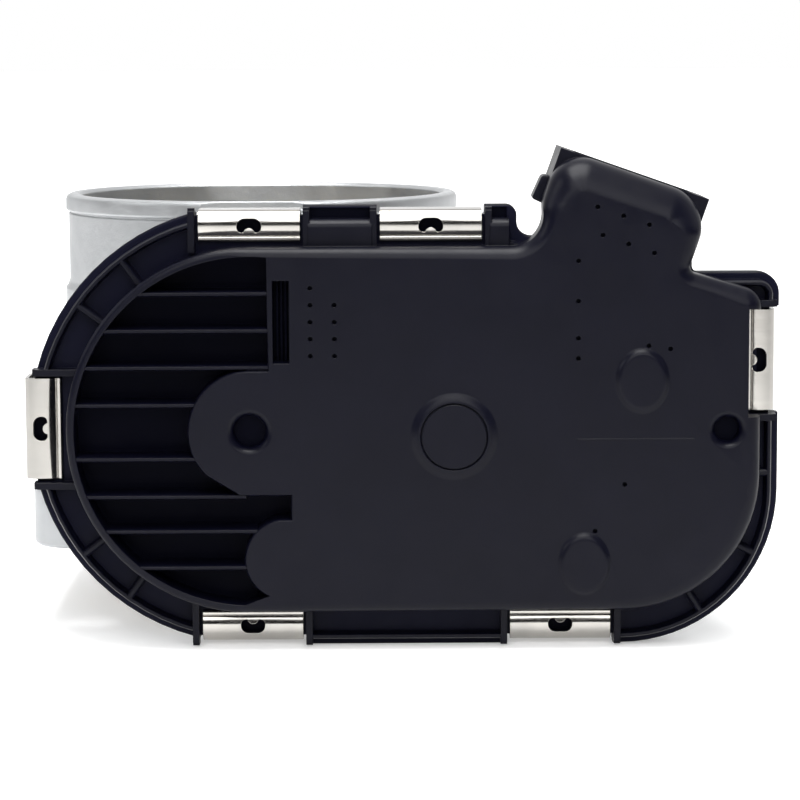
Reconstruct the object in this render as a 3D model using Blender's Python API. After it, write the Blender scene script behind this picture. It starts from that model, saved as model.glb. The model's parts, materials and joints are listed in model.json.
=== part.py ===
"""Electronic throttle body: one object for each physical piece, in metres, with +Z up.

Millimetres are used throughout and turned into metres when a mesh is made. While the pieces are
made, the air bore's axis is the Z axis, the throttle shaft lies along Y at height SHAFT_Z, and the
gear cover faces -Y. Outlines in the XZ plane are measured from the shaft axis. The last step moves
everything so that the origin is the bottom centre of the whole part.
"""

import math

import bmesh
import bpy
from mathutils import Vector

MM = 0.001
GAP = 0.3  # clearance left between pieces that touch on the real part
FINE = 48  # sides of the large round shapes
ROUND = 24  # sides of the medium ones
COARSE = 12  # sides of screws, pins and small holes

# Air bore, hose neck and manifold flange
SHAFT_Z = 36.4
BORE_R = 32.2
NECK_R = 34.4
BARREL_R = 35.1
BARREL_TOP_Z = 56.5
NECK_TOP_Z = 72.6
BEAD_R = 34.9
BEAD_HEIGHT = 2.9
FLANGE_HALF = 38.0
FLANGE_CORNER_R = 8.0
FLANGE_BOTTOM_Z = 14.4
FLANGE_TOP_Z = 24.5
FLANGE_HOLE_AT = 29.5
FLANGE_HOLE_R = 3.2
SEAL_GROOVE_R = (33.6, 36.4)
SEAL_GROOVE_DEPTH = 2.2

# Planes across the gear case and the cover, from front to back
COVER_FRONT = -55.0
COVER_INSIDE = -52.6
RECESS_FRONT = -48.6
RECESS_INSIDE = -46.6
RIB_FRONT = -50.5
RIM_FRONT = -48.0
COVER_BACK = -45.5
CASE_FRONT = -45.0
CASE_FLOOR = -37.5
CASE_BACK = -34.5
LIP_BACK = -42.0

# Outline of the case and cover, from the shaft axis
RIM_R = 36.4
RIM_RIGHT = 86.6
RIM_CORNER_R = 25.7
RIM_RIGHT_TOP = 25.2
SADDLE_LEFT = 43.6
SADDLE_RIGHT = 72.3
SADDLE_Z = 31.2
CASE_SADDLE_Z = 30.0
BOX_R = 29.8
BOX_RIGHT = 83.0
BOX_CORNER_R = 22.2
BOX_RIGHT_TOP = 22.3
BOX_SLOPE_START = (71.0, 25.7)
BOX_WALL = 2.2
SEAL_R = 30.2
SEAL_RIGHT = 83.4
SEAL_RIGHT_TOP = 21.0
SEAL_SADDLE = (40.5, 69.5)
SEAL_SADDLE_Z = 26.6
SEAL_HALF = 0.9
CHAMBER_INSET = 2.0
CASE_INSET = 3.4
RIB_INSET = (1.3, 2.4)
RIB_THICK = 1.2

# Finned recess at the left of the cover, with the shaft pad and a round lobe beside it
RECESS_R = 27.9
RECESS_RIGHT = 3.0
PAD_R = 10.1
LOBE_AT = (5.8, -21.0)
LOBE_R = 6.8
NOTCH_RIGHT = 6.6
NOTCH_Z = (-14.3, -10.5)
NOTCH_LEFT = -1.5
FIN_THICK = 0.9
FINS = ((22.4, 3.4), (16.4, 3.4), (10.9, 0.5), (4.5, -8.8), (-4.5, -8.8), (-10.9, -0.6), (-16.4, 1.2), (-22.4, -0.4))
SLOT = ((3.9, 11.2), (6.6, 24.6))
SLOT_BOTTOM = -50.0
SOCKETS = (((0.0, 0.0), 2.6), ((77.6, 0.0), 2.0))
SOCKET_BOTTOM = -51.8
BOSSES = (((33.2, -0.8), 6.6, 6.6), ((63.7, 8.1), 4.2, 5.0), ((54.4, -21.9), 4.2, 5.0))
BOSS_HEIGHT = 0.5
LEFT_RIBS_DEG = (127.0, 144.0, 216.0, 234.0)
RIGHT_RIBS_DEG = (-25.6, -56.9)
RIGHT_RIB_Z = -7.7

# Spring clips that hold the cover on: centre along the edge, and the side of the rim
CLIP_LENGTH = 16.6
CLIP_STEEL = 0.6
CLIP_LEG = 4.4
CLIP_OUT = 35.7
CLIP_FRONT = -49.0
CLIPS = (("left", 0.0), ("top", 0.0), ("top", 29.6), ("right", 10.8), ("bottom", 0.0), ("bottom", 50.8))
NOTCH_LENGTH = 17.6
CHEEK_THICK = 1.7
LEFT_SHIFT = 0.9
RIGHT_SHIFT = RIM_RIGHT - RIM_R + 0.6
RIGHT_SEAT = 31.2

# Electrical connector moulded into the cover: u runs across it, v points out of it
HOOD_AT = (62.9, 41.3)
HOOD_TILT = math.radians(19.4)
HOOD_HALF = 12.8
HOOD_NECK_HALF = 13.0
HOOD_COLLAR = 4.6
HOOD_FRONT = -50.0
HOOD_BACK = -34.0
HOOD_FLOOR_Z = 30.3
HOOD_SOCKET_HALF = 10.4
HOOD_SOCKET_DEPTH = 7.0
HOOD_SOCKET_Y = (-48.2, -36.0)
PIN_ROWS_Y = (-45.6, -38.6)
PIN_COLUMNS_U = (-6.0, 0.0, 6.0)
PIN_HALF = 0.45

# Throttle shaft and plate
SHAFT_R = 5.0
SHAFT_Y = (-46.8, 41.6)
SHAFT_TIP_R = 3.0
SHAFT_TIP_Y = -49.0
PLATE_R = 31.8
PLATE_THICK = 1.5
CLOSED_DEG = 5.0
REST_DEG = 6.0  # the plate stands this far open with no current, so an engine can limp home
PLATE_SCREWS_Y = (-11.0, 11.0)
BEARING_R = 9.5
BEARING_WIDTH = 5.0
NEAR_BEARING_Y = -39.0
FAR_BEARING_Y = 36.0
NEAR_BOSS_R = 11.6
FAR_BOSS_R = 12.4
FAR_BOSS_Y = 44.4

# Gears: the motor pinion drives the wheel, whose own pinion drives the segment on the shaft
PRESSURE = math.radians(20.0)
BACKLASH = 0.3
SEGMENT_TEETH = 44
IDLER_PINION_TEETH = 14
DRIVE_MODULE = 1.14
IDLER_WHEEL_TEETH = 44
MOTOR_PINION_TEETH = 11
MOTOR_MODULE = 1.0
IDLER_DIRECTION = math.radians(-1.4)
MOTOR_DIRECTION = math.radians(-12.8)
SEGMENT_Y = (-46.0, -41.4)
SEGMENT_SPAN_DEG = (-24.0, 98.0)
STOP_AT = 23.2
SHUT_STOP_DEG = 111.6
OPEN_STOP_DEG = -109.8
WHEEL_Y = (-51.4, -47.4)
IDLER_PIN_R = 2.5

# Motor
MOTOR_R = 18.0
MOTOR_Y = (-38.8, 13.5)
MOTOR_BAY_R = 21.4
MOTOR_BAY_Y = 18.0
EAR_DIRECTIONS_DEG = (55.0, 235.0)
EAR_AT = 22.0
TERMINAL_DIRECTIONS_DEG = (50.0, 8.0)
TERMINAL_AT = 14.0


def on_circle(centre, radius, angle):
    """The point at this angle, in radians, on a circle in the XZ plane."""
    return (centre[0] + radius * math.cos(angle), centre[1] + radius * math.sin(angle))


IDLER_AT = on_circle((0.0, 0.0), DRIVE_MODULE * (SEGMENT_TEETH + IDLER_PINION_TEETH) / 2, IDLER_DIRECTION)
MOTOR_AT = on_circle(IDLER_AT, MOTOR_MODULE * (IDLER_WHEEL_TEETH + MOTOR_PINION_TEETH) / 2, MOTOR_DIRECTION)


# ---------------------------------------------------------------- outlines


def arc(centre, radius, start_deg, end_deg, steps):
    """Points along an arc, both ends included."""
    turns = [start_deg + (end_deg - start_deg) * i / steps for i in range(steps + 1)]
    return [on_circle(centre, radius, math.radians(turn)) for turn in turns]


def circle(centre, radius, sides):
    return arc(centre, radius, 0.0, 360.0, sides)[:-1]


def rectangle(low, high):
    return [low, (high[0], low[1]), high, (low[0], high[1])]


def rounded(corners, degrees_per_step=12.5):
    """The polygon of (x, z, radius) corners with each corner turned into an arc of that radius."""
    points = []
    for index, (x, z, radius) in enumerate(corners):
        here = Vector((x, z))
        before = (Vector(corners[index - 1][:2]) - here).normalized()
        after = (Vector(corners[(index + 1) % len(corners)][:2]) - here).normalized()
        half = before.angle(after) / 2
        middle = here + (before + after).normalized() * (radius / math.sin(half))
        start = here + before * (radius / math.tan(half)) - middle
        end = here + after * (radius / math.tan(half)) - middle
        sweep = start.angle_signed(end)
        steps = max(1, round(abs(math.degrees(sweep)) / degrees_per_step))
        first = math.atan2(start.y, start.x)
        points += [on_circle(middle, radius, first - sweep * step / steps) for step in range(steps + 1)]
    return points


def rim_outline(inset, saddle_z=SADDLE_Z):
    """The outer edge that the case and the cover share, moved inwards by inset."""
    edge = RIM_R - inset
    return rounded(
        [
            (-edge, -edge, edge - 0.05),
            (RIM_RIGHT - inset, -edge, RIM_CORNER_R - inset),
            (RIM_RIGHT - inset, RIM_RIGHT_TOP - inset, 2.5),
            (SADDLE_RIGHT, RIM_RIGHT_TOP - inset, 1.0),
            (SADDLE_RIGHT, saddle_z - inset, 1.0),
            (SADDLE_LEFT - inset, saddle_z - inset, 1.0),
            (SADDLE_LEFT - inset, edge, 1.8),
            (-edge, edge, edge - 0.05),
        ]
    )


def box_outline(inset):
    """The edge of the raised front of the cover, moved inwards by inset."""
    edge = BOX_R - inset
    return rounded(
        [
            (-edge, -edge, edge - 0.05),
            (BOX_RIGHT - inset, -edge, BOX_CORNER_R - inset),
            (BOX_RIGHT - inset, BOX_RIGHT_TOP - inset, 2.2),
            (BOX_SLOPE_START[0], BOX_SLOPE_START[1] - inset, 1.2),
            (BOX_SLOPE_START[0], edge, 0.8),
            (-edge, edge, edge - 0.05),
        ]
    )


def seal_outline(grow):
    """The path of the cover gasket round the gear chamber, made larger by grow."""
    edge = SEAL_R + grow
    return rounded(
        [
            (-edge, -edge, edge - 0.05),
            (SEAL_RIGHT + grow, -edge, SEAL_RIGHT - RIM_RIGHT + RIM_CORNER_R + grow),
            (SEAL_RIGHT + grow, SEAL_RIGHT_TOP + grow, 2.5),
            (SEAL_SADDLE[1] + grow, SEAL_RIGHT_TOP + grow, 1.0),
            (SEAL_SADDLE[1] + grow, SEAL_SADDLE_Z + grow, 1.5),
            (SEAL_SADDLE[0] + grow, SEAL_SADDLE_Z + grow, 1.0),
            (SEAL_SADDLE[0] + grow, edge, 1.5),
            (-edge, edge, edge - 0.05),
        ]
    )


def recess_outline(grow):
    """The finned recess, made larger by grow on every side but the outer arc."""
    pad_r = PAD_R - grow
    lobe_r = LOBE_R - grow
    return (
        arc((0, 0), RECESS_R, 84, 264, 30)
        + arc(LOBE_AT, lobe_r, 236, 100, 10)
        + [(NOTCH_RIGHT + grow, NOTCH_Z[0] - grow), (NOTCH_RIGHT + grow, NOTCH_Z[1] + grow)]
        + [(NOTCH_LEFT, NOTCH_Z[1] + grow)]
        + arc((0, 0), pad_r, 225, 92, 12)
        + [(RECESS_RIGHT + grow, PAD_R - grow)]
    )


def hood_point(u, v):
    """A point of the connector in the XZ plane, u across it and v out of it."""
    across = (math.cos(HOOD_TILT), -math.sin(HOOD_TILT))
    out = (math.sin(HOOD_TILT), math.cos(HOOD_TILT))
    return (HOOD_AT[0] + across[0] * u + out[0] * v, HOOD_AT[1] + across[1] * u + out[1] * v)


def hood_outline(inset):
    """The rounded bulge in front of the connector."""
    half = HOOD_NECK_HALF - 0.6 - inset
    corners = [
        (*hood_point(-half, -15.0), 0.6),
        (*hood_point(half, -15.0), 0.6),
        (*hood_point(half, -0.3 - inset), 5.5),
        (*hood_point(-half, -0.3 - inset), 5.5),
    ]
    return rounded(corners, 15.0)


def involute(base_r, radius):
    turned = math.acos(min(1.0, base_r / radius))
    return math.tan(turned) - turned


def gear_outline(teeth, module, addendum, first_tooth, count=None):
    """Teeth of an involute gear, counter-clockwise, the first one centred on first_tooth."""
    pitch_r = module * teeth / 2
    base_r = pitch_r * math.cos(PRESSURE)
    root_r = pitch_r - 1.2 * module
    tip_r = pitch_r + addendum * module
    low_r = max(base_r, root_r)
    radii = [low_r + (tip_r - low_r) * step / 2 for step in range(3)]
    half_pitch = (math.pi * module / 2 - BACKLASH / 2) / (2 * pitch_r)
    halves = [half_pitch + involute(base_r, pitch_r) - involute(base_r, radius) for radius in radii]
    flank = [(root_r, halves[0])] * (root_r < base_r) + list(zip(radii, halves))
    points = []
    for tooth in range(count or teeth):
        centre = first_tooth + 2 * math.pi * tooth / teeth
        points += [on_circle((0, 0), radius, centre - half) for radius, half in flank]
        points += [on_circle((0, 0), radius, centre + half) for radius, half in reversed(flank)]
    return points


# ---------------------------------------------------------------- solids


def solid_from(name, points, faces):
    """An object with this mesh, given in millimetres, with its faces turned outwards."""
    mesh = bpy.data.meshes.new(name)
    mesh.from_pydata([Vector(point) * MM for point in points], [], faces)
    turned = bmesh.new()
    turned.from_mesh(mesh)
    bmesh.ops.recalc_face_normals(turned, faces=turned.faces)
    turned.to_mesh(mesh)
    turned.free()
    made = bpy.data.objects.new(name, mesh)
    bpy.context.collection.objects.link(made)
    return made


def loft(name, sections):
    """A closed solid through outlines with the same number of points, each a list of 3-D points."""
    count = len(sections[0])
    points = [point for section in sections for point in section]
    faces = [tuple(range(count)), tuple(range(len(points) - count, len(points)))]
    for level in range(len(sections) - 1):
        low, high = level * count, (level + 1) * count
        for i in range(count):
            j = (i + 1) % count
            faces.append((low + i, low + j, high + j, high + i))
    return solid_from(name, points, faces)


def along_y(outline, y, centre=(0.0, 0.0)):
    """An outline measured from the shaft axis as 3-D points in the plane at this y."""
    return [(x + centre[0], y, z + centre[1] + SHAFT_Z) for x, z in outline]


def slab(name, outline, y0, y1, centre=(0.0, 0.0)):
    """An outline in the XZ plane extruded from y0 to y1."""
    return loft(name, [along_y(outline, y0, centre), along_y(outline, y1, centre)])


def column(name, outline, z0, z1):
    """An outline in the XY plane extruded from z0 to z1."""
    return loft(name, [[(x, y, z) for x, y in outline] for z in (z0, z1)])


def block(name, low, high):
    """A box between two corners measured from the shaft axis."""
    return slab(name, rectangle((low[0], low[2]), (high[0], high[2])), low[1], high[1])


def turned_y(name, centre, profile, sides):
    """A closed (radius, y) profile swept round an axis along Y through this centre."""
    rings = [along_y(circle(centre, radius, sides), y) for radius, y in profile]
    return closed_sweep(name, rings)


def turned_z(name, profile, sides):
    """A closed (radius, z) profile swept round the bore axis."""
    rings = [[(x, y, z) for x, y in circle((0, 0), radius, sides)] for radius, z in profile]
    return closed_sweep(name, rings)


def closed_sweep(name, rings):
    """Rings of points joined each to the next and the last to the first."""
    count = len(rings[0])
    points = [point for ring in rings for point in ring]
    faces = []
    for level in range(len(rings)):
        low, high = level * count, (level + 1) % len(rings) * count
        for i in range(count):
            j = (i + 1) % count
            faces.append((low + i, low + j, high + j, high + i))
    return solid_from(name, points, faces)


def stepped_rod(name, centre, steps, sides):
    """A solid of revolution along Y through (radius, y) points, capped at both ends."""
    return loft(name, [along_y(circle(centre, radius, sides), y) for radius, y in steps])


def rod(name, centre, radius, y0, y1, sides=ROUND):
    return stepped_rod(name, centre, [(radius, y0), (radius, y1)], sides)


def ring(name, centre, inner, outer, y0, y1, sides=ROUND):
    return turned_y(name, centre, [(inner, y0), (outer, y0), (outer, y1), (inner, y1)], sides)


def combine(operation, base, tools):
    """Applies a Boolean with each tool in turn and removes the tools."""
    for tool in tools:
        modifier = base.modifiers.new(tool.name, "BOOLEAN")
        modifier.operation = operation
        modifier.solver = "EXACT"
        modifier.object = tool
        graph = bpy.context.evaluated_depsgraph_get()
        result = bpy.data.meshes.new_from_object(base.evaluated_get(graph))
        base.modifiers.clear()
        base.data = result
        bpy.data.objects.remove(tool)
    return base


def join(base, *tools):
    return combine("UNION", base, tools)


def cut(base, *tools):
    return combine("DIFFERENCE", base, tools)


def keep(base, *tools):
    return combine("INTERSECT", base, tools)


# ---------------------------------------------------------------- housing


def flange():
    """The square manifold flange under the bore."""
    side = FLANGE_HALF
    outline = rounded([(x, y, FLANGE_CORNER_R) for x, y in rectangle((-side, -side), (side, side))], 15.0)
    return column("flange", outline, FLANGE_BOTTOM_Z, FLANGE_TOP_Z)


def barrel():
    """The outside of the air bore: a wide lower part, a hose neck, and a bead round its end."""
    profile = [
        (BARREL_R, FLANGE_BOTTOM_Z + 2),
        (BARREL_R, BARREL_TOP_Z),
        (NECK_R, BARREL_TOP_Z + 1.1),
        (NECK_R, NECK_TOP_Z - BEAD_HEIGHT - 0.6),
        (BEAD_R, NECK_TOP_Z - BEAD_HEIGHT + 0.3),
        (BEAD_R, NECK_TOP_Z - 0.6),
        (BEAD_R - 0.6, NECK_TOP_Z),
    ]
    return loft("barrel", [[(x, y, z) for x, y in circle((0, 0), radius, FINE)] for radius, z in profile])


def flange_holes():
    """Cutters for the four bolt holes of the flange."""
    places = [(x, y) for x in (-FLANGE_HOLE_AT, FLANGE_HOLE_AT) for y in (-FLANGE_HOLE_AT, FLANGE_HOLE_AT)]
    return [column("hole", circle(place, FLANGE_HOLE_R, COARSE), FLANGE_BOTTOM_Z - 5, FLANGE_TOP_Z + 4) for place in places]


def webs():
    """Walls that tie the motor bay to the barrel."""
    return [
        block("web_high", (27, -20, 4), (46, 10, 7)),
        block("web_low", (27, -20, -14), (46, 10, -11)),
    ]


def case_lip_notches(y0, y1):
    """Cutters that set the rim back under each clip."""
    return [edge_block(side, at, NOTCH_LENGTH, CLIP_OUT - CLIP_STEEL - GAP, RIM_R + 3, y0, y1) for side, at in CLIPS]


def edge_block(side, at, length, inner, outer, y0, y1):
    """A box on one side of the rim, between two distances from that side's own centre line."""
    low, high = at - length / 2, at + length / 2
    if side == "top":
        return block("edge", (low, y0, inner), (high, y1, outer))
    if side == "bottom":
        return block("edge", (low, y0, -outer), (high, y1, -inner))
    if side == "left":
        return block("edge", (-outer - LEFT_SHIFT, y0, low), (-inner - LEFT_SHIFT, y1, high))
    return block("edge", (inner + RIGHT_SHIFT, y0, low), (outer + RIGHT_SHIFT, y1, high))


def housing():
    """Cast aluminium body: bore, flange, gear case, shaft bosses and motor bay."""
    body = barrel()
    join(
        body,
        flange(),
        slab("case", rim_outline(CASE_INSET, CASE_SADDLE_Z + CASE_INSET), LIP_BACK - 1, CASE_BACK),
        slab("lip", rim_outline(0.2, CASE_SADDLE_Z), CASE_FRONT, LIP_BACK),
        rod("motor_bay", MOTOR_AT, MOTOR_BAY_R, CASE_BACK - 1, MOTOR_BAY_Y, FINE),
        rod("far_boss", (0, 0), FAR_BOSS_R, 30, FAR_BOSS_Y),
        *webs(),
    )
    cut(body, slab("chamber", seal_outline(-CHAMBER_INSET), CASE_FRONT - 1, CASE_FLOOR))
    join(body, rod("near_boss", (0, 0), NEAR_BOSS_R, -39.3, -33.5), rod("idler_boss", IDLER_AT, 5.0, -39.0, CASE_BACK + 0.5, COARSE))
    join(body, rod("open_stop", on_circle((0, 0), STOP_AT, math.radians(OPEN_STOP_DEG)), 2.0, -43.0, CASE_FLOOR + 0.5, COARSE))
    cut(
        body,
        column("bore", circle((0, 0), BORE_R, FINE), FLANGE_BOTTOM_Z - 1, NECK_TOP_Z + 1),
        rod("near_seat", (0, 0), BEARING_R + GAP, -40.5, NEAR_BEARING_Y + BEARING_WIDTH + GAP),
        rod("far_seat", (0, 0), BEARING_R + GAP, FAR_BEARING_Y - GAP, FAR_BOSS_Y + 1),
        rod("shaft_bore", (0, 0), SHAFT_R + GAP, -41, FAR_BOSS_Y + 1),
        rod("motor_bore", MOTOR_AT, MOTOR_R + 0.5, CASE_FRONT, MOTOR_Y[1] + 1.0, FINE),
        rod("idler_seat", IDLER_AT, IDLER_PIN_R + GAP, -40, -35.2, COARSE),
        ring_groove(),
        seal_groove(),
        *flange_holes(),
        *case_lip_notches(CASE_FRONT - 1, CASE_BACK + 1),
        ring("spring_groove", (0, 0), 12.4, 16.6, CASE_FLOOR - 0.7, -35.9),
    )
    body.name = "housing"
    return body


def ring_groove():
    """Cutter for the groove that holds the cover gasket."""
    half = SEAL_HALF + GAP
    groove = slab("groove", seal_outline(half), CASE_FRONT - 1, CASE_FRONT + 1.9)
    return cut(groove, slab("island", seal_outline(-half), CASE_FRONT - 2, CASE_FRONT + 3))


def seal_groove():
    """Cutter for the groove in the flange face."""
    inner, outer = SEAL_GROOVE_R
    low, high = FLANGE_BOTTOM_Z - 1, FLANGE_BOTTOM_Z + SEAL_GROOVE_DEPTH
    return turned_z("seal_groove", [(inner, low), (outer, low), (outer, high), (inner, high)], FINE)


def flange_seal():
    """Rubber ring in the flange face."""
    inner, outer = SEAL_GROOVE_R[0] + GAP, SEAL_GROOVE_R[1] - GAP
    low, high = FLANGE_BOTTOM_Z + 0.1, FLANGE_BOTTOM_Z + SEAL_GROOVE_DEPTH - GAP
    return turned_z("flange_seal", [(inner, low), (outer, low), (outer, high), (inner, high)], FINE)


def cover_gasket():
    """Rubber cord between the case and the cover."""
    gasket = slab("cover_gasket", seal_outline(SEAL_HALF), CASE_FRONT - 0.2, CASE_FRONT + 1.6)
    return cut(gasket, slab("inside", seal_outline(-SEAL_HALF), CASE_FRONT - 2, CASE_FRONT + 3))


# ---------------------------------------------------------------- cover


def cover_shell():
    """The rim, the raised front and the hollow behind it."""
    front = [(0.0, COVER_BACK), (0.0, -53.6), (0.45, -54.6), (1.4, COVER_FRONT)]
    shell = slab("cover", rim_outline(0.0), RIM_FRONT, COVER_BACK)
    join(shell, loft("box", [along_y(box_outline(inset), y) for inset, y in front]))
    return cut(shell, slab("hollow", box_outline(BOX_WALL), COVER_INSIDE, COVER_BACK + 1))


def edge_rib():
    """The rib that stands round the rim."""
    rib = slab("rib", rim_outline(RIB_INSET[0]), RIB_FRONT, RIM_FRONT + 0.5)
    return cut(rib, slab("inside", rim_outline(RIB_INSET[1]), RIB_FRONT - 1, RIM_FRONT + 1))


def spoke(centre, start, end, angle_deg):
    """A straight rib across the channel, pointing away from a centre."""
    turn = math.radians(angle_deg)
    side = Vector((-math.sin(turn), math.cos(turn))) * RIB_THICK / 2
    near = Vector(on_circle(centre, start, turn))
    far = Vector(on_circle(centre, end, turn))
    return slab("spoke", [near - side, far - side, far + side, near + side], RIB_FRONT, RIM_FRONT + 0.5)


def spokes():
    corner = (RIM_RIGHT - RIM_CORNER_R, RIM_CORNER_R - RIM_R)
    left = [spoke((0, 0), BOX_R - 0.5, RIM_R - 2.6, angle) for angle in LEFT_RIBS_DEG]
    right = [spoke(corner, 20.0, RIM_CORNER_R - 2.6, angle) for angle in RIGHT_RIBS_DEG]
    right.append(spoke((corner[0], RIGHT_RIB_Z), 20.0, RIM_CORNER_R - 2.0, 0.0))
    return left + right


def clip_seats():
    """Cutters that clear the channel and the rim where each clip sits."""
    channels = [edge_block(side, at, NOTCH_LENGTH, 30.2, RIM_R + 3, RIB_FRONT - 1, RIM_FRONT) for side, at in CLIPS if side != "right"]
    channels.append(edge_block("right", CLIPS[3][1], NOTCH_LENGTH, RIGHT_SEAT, RIM_R + 3, COVER_FRONT - 1, RIM_FRONT))
    return channels + case_lip_notches(RIB_FRONT - 1, COVER_BACK + 1)


def cheeks():
    """Small walls at both ends of each clip."""
    walls = []
    for side, at in CLIPS:
        inner = 32.4 if side == "right" else 28.8
        outer = 34.0 if side == "left" else RIM_R - 0.4
        for end in (-1, 1):
            middle = at + end * (NOTCH_LENGTH + CHEEK_THICK) / 2
            walls.append(edge_block(side, middle, CHEEK_THICK, inner, outer, RIB_FRONT, RIM_FRONT + 0.5))
    return walls


def recess(shell):
    """Sinks the finned recess into the left of the cover."""
    join(shell, slab("recess_wall", recess_outline(1.4), COVER_INSIDE - 0.4, RECESS_INSIDE))
    join(shell, block("slot_wall", (RECESS_RIGHT, COVER_INSIDE - 0.4, 9.5), (8.0, RECESS_INSIDE, 26.2)))
    cut(shell, slab("recess_cut", recess_outline(0.0), COVER_FRONT - 2, RECESS_FRONT))
    cut(shell, slab("slot", rectangle(*SLOT), COVER_FRONT - 2, SLOT_BOTTOM))
    for z, right in FINS:
        left = -math.sqrt((RECESS_R + 0.7) ** 2 - z**2)
        join(shell, block("fin", (left, COVER_FRONT, z - FIN_THICK / 2), (right, RECESS_FRONT + 0.4, z + FIN_THICK / 2)))
    return shell


def front_details(shell):
    """Blind sockets and low bosses on the cover's front."""
    for place, radius in SOCKETS:
        join(shell, rod("socket_wall", place, radius + 1.6, COVER_INSIDE - 0.4, SOCKET_BOTTOM + 1.2, COARSE))
        cut(shell, rod("socket", place, radius, COVER_FRONT - 2, SOCKET_BOTTOM, COARSE))
    for place, half_x, half_z in BOSSES:
        outline = [(x * half_x, z * half_z) for x, z in circle((0, 0), 1.0, 24)]
        join(shell, slab("boss", outline, COVER_FRONT - BOSS_HEIGHT, COVER_FRONT + 0.5, place))
    return shell


def connector(shell):
    """The plug shroud: neck, collar, front bulge, latch nose and socket."""
    half, neck = HOOD_HALF, HOOD_NECK_HALF
    collar = [hood_point(-half, -6.0), hood_point(half, -6.0), hood_point(half, 0.0), hood_point(-half, 0.0)]
    body = [hood_point(-neck, -15), hood_point(neck, -15), hood_point(neck, -HOOD_COLLAR), hood_point(-neck, -HOOD_COLLAR)]
    nose = [hood_point(-16.0, -9.0), hood_point(-12.0, -9.6), hood_point(-12.0, -5.4), hood_point(-15.6, -5.4)]
    front = [(0.0, HOOD_FRONT + 1), (0.0, -51.0), (0.8, -53.2), (2.0, -54.4), (3.6, COVER_FRONT)]
    hood = slab("collar", collar, HOOD_FRONT + 1.5, HOOD_BACK)
    join(hood, slab("neck", body, HOOD_FRONT, HOOD_BACK + 0.8))
    cut(hood, block("case_room", (30, COVER_BACK, -10), (95, HOOD_BACK + 5, HOOD_FLOOR_Z)))
    join(
        hood,
        loft("bulge", [along_y(hood_outline(inset), y) for inset, y in front]),
        slab("nose", nose, -46.5, -41.0),
    )
    cut(hood, slab("hollow", box_outline(BOX_WALL), COVER_INSIDE, COVER_BACK + 3))
    join(shell, hood)
    mouth = HOOD_SOCKET_HALF
    socket = [hood_point(-mouth, -HOOD_SOCKET_DEPTH), hood_point(mouth, -HOOD_SOCKET_DEPTH), hood_point(mouth, 4), hood_point(-mouth, 4)]
    cut(shell, slab("socket", socket, *HOOD_SOCKET_Y))
    cut(shell, *[pin_block("pin_hole", u, y, PIN_HALF + GAP, -HOOD_SOCKET_DEPTH - 1.3, 0.0) for u in PIN_COLUMNS_U for y in PIN_ROWS_Y])
    return shell


def pin_block(name, u, y, half, v0, v1):
    """A square bar along the connector's own direction."""
    outline = [hood_point(u - half, v0), hood_point(u + half, v0), hood_point(u + half, v1), hood_point(u - half, v1)]
    return slab(name, outline, y - half, y + half)


def cover():
    """Black plastic cover with the electrical connector moulded on."""
    shell = cover_shell()
    join(shell, edge_rib())
    join(shell, *spokes())
    cut(shell, *clip_seats())
    join(shell, *cheeks())
    recess(shell)
    connector(shell)
    front_details(shell)
    return shell


def connector_pins():
    places = [(u, y) for y in PIN_ROWS_Y for u in PIN_COLUMNS_U]
    return [pin_block(f"connector_pin_{i + 1}", u, y, PIN_HALF, -HOOD_SOCKET_DEPTH - 1.0, -1.6) for i, (u, y) in enumerate(places)]


def cover_clip(number, side, at):
    """A folded steel strip that grips the cover and the case lip, with a keyhole in its front leg."""
    outer, inner = CLIP_OUT, CLIP_OUT - CLIP_STEEL
    front, back = CLIP_FRONT, LIP_BACK + GAP
    clip = edge_block(side, at, CLIP_LENGTH, inner, outer, front, back + CLIP_STEEL)
    join(
        clip,
        edge_block(side, at, CLIP_LENGTH, outer - CLIP_LEG, outer, front, front + CLIP_STEEL),
        edge_block(side, at, CLIP_LENGTH, outer - 1.8, outer, back, back + CLIP_STEEL),
    )
    cut(clip, edge_block(side, at, 3.8, outer - 3.4, outer - 1.3, front - 1, front + 2))
    clip.name = f"cover_clip_{number}"
    return clip


# ---------------------------------------------------------------- throttle


def tilted_slab(name, half_x, half_y, half_z, angle_deg):
    """A box on the shaft axis, turned about it."""
    box = [(-half_x, -half_z), (half_x, -half_z), (half_x, half_z), (-half_x, half_z)]
    turn = math.radians(angle_deg)
    outline = [(x * math.cos(turn) + z * math.sin(turn), z * math.cos(turn) - x * math.sin(turn)) for x, z in box]
    return slab(name, outline, -half_y, half_y)


def turn_about_shaft(made, angle_deg):
    """Turns a mesh about the shaft, clockwise seen from the cover."""
    turn = math.radians(angle_deg)
    for vertex in made.data.vertices:
        x, z = vertex.co.x, vertex.co.z - SHAFT_Z * MM
        vertex.co.x = x * math.cos(turn) + z * math.sin(turn)
        vertex.co.z = z * math.cos(turn) - x * math.sin(turn) + SHAFT_Z * MM
    return made


def plate_screw_axis(made):
    return turn_about_shaft(made, CLOSED_DEG + REST_DEG)


def throttle_plate():
    """Disc that closes the bore when tilted by CLOSED_DEG, shown at the limp-home angle."""
    plate = tilted_slab("throttle_plate", 40, 40, PLATE_THICK / 2, CLOSED_DEG)
    keep(plate, column("round", circle((0, 0), PLATE_R, FINE), 10, 62))
    turn_about_shaft(plate, REST_DEG)
    cut(plate, *[plate_screw_axis(upright("hole", y, 1.9, -3, 3)) for y in PLATE_SCREWS_Y])
    return plate


def upright(name, y, radius, z0, z1):
    """A vertical rod through the shaft axis."""
    return column(name, circle((0, y), radius, COARSE), SHAFT_Z + z0, SHAFT_Z + z1)


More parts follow.
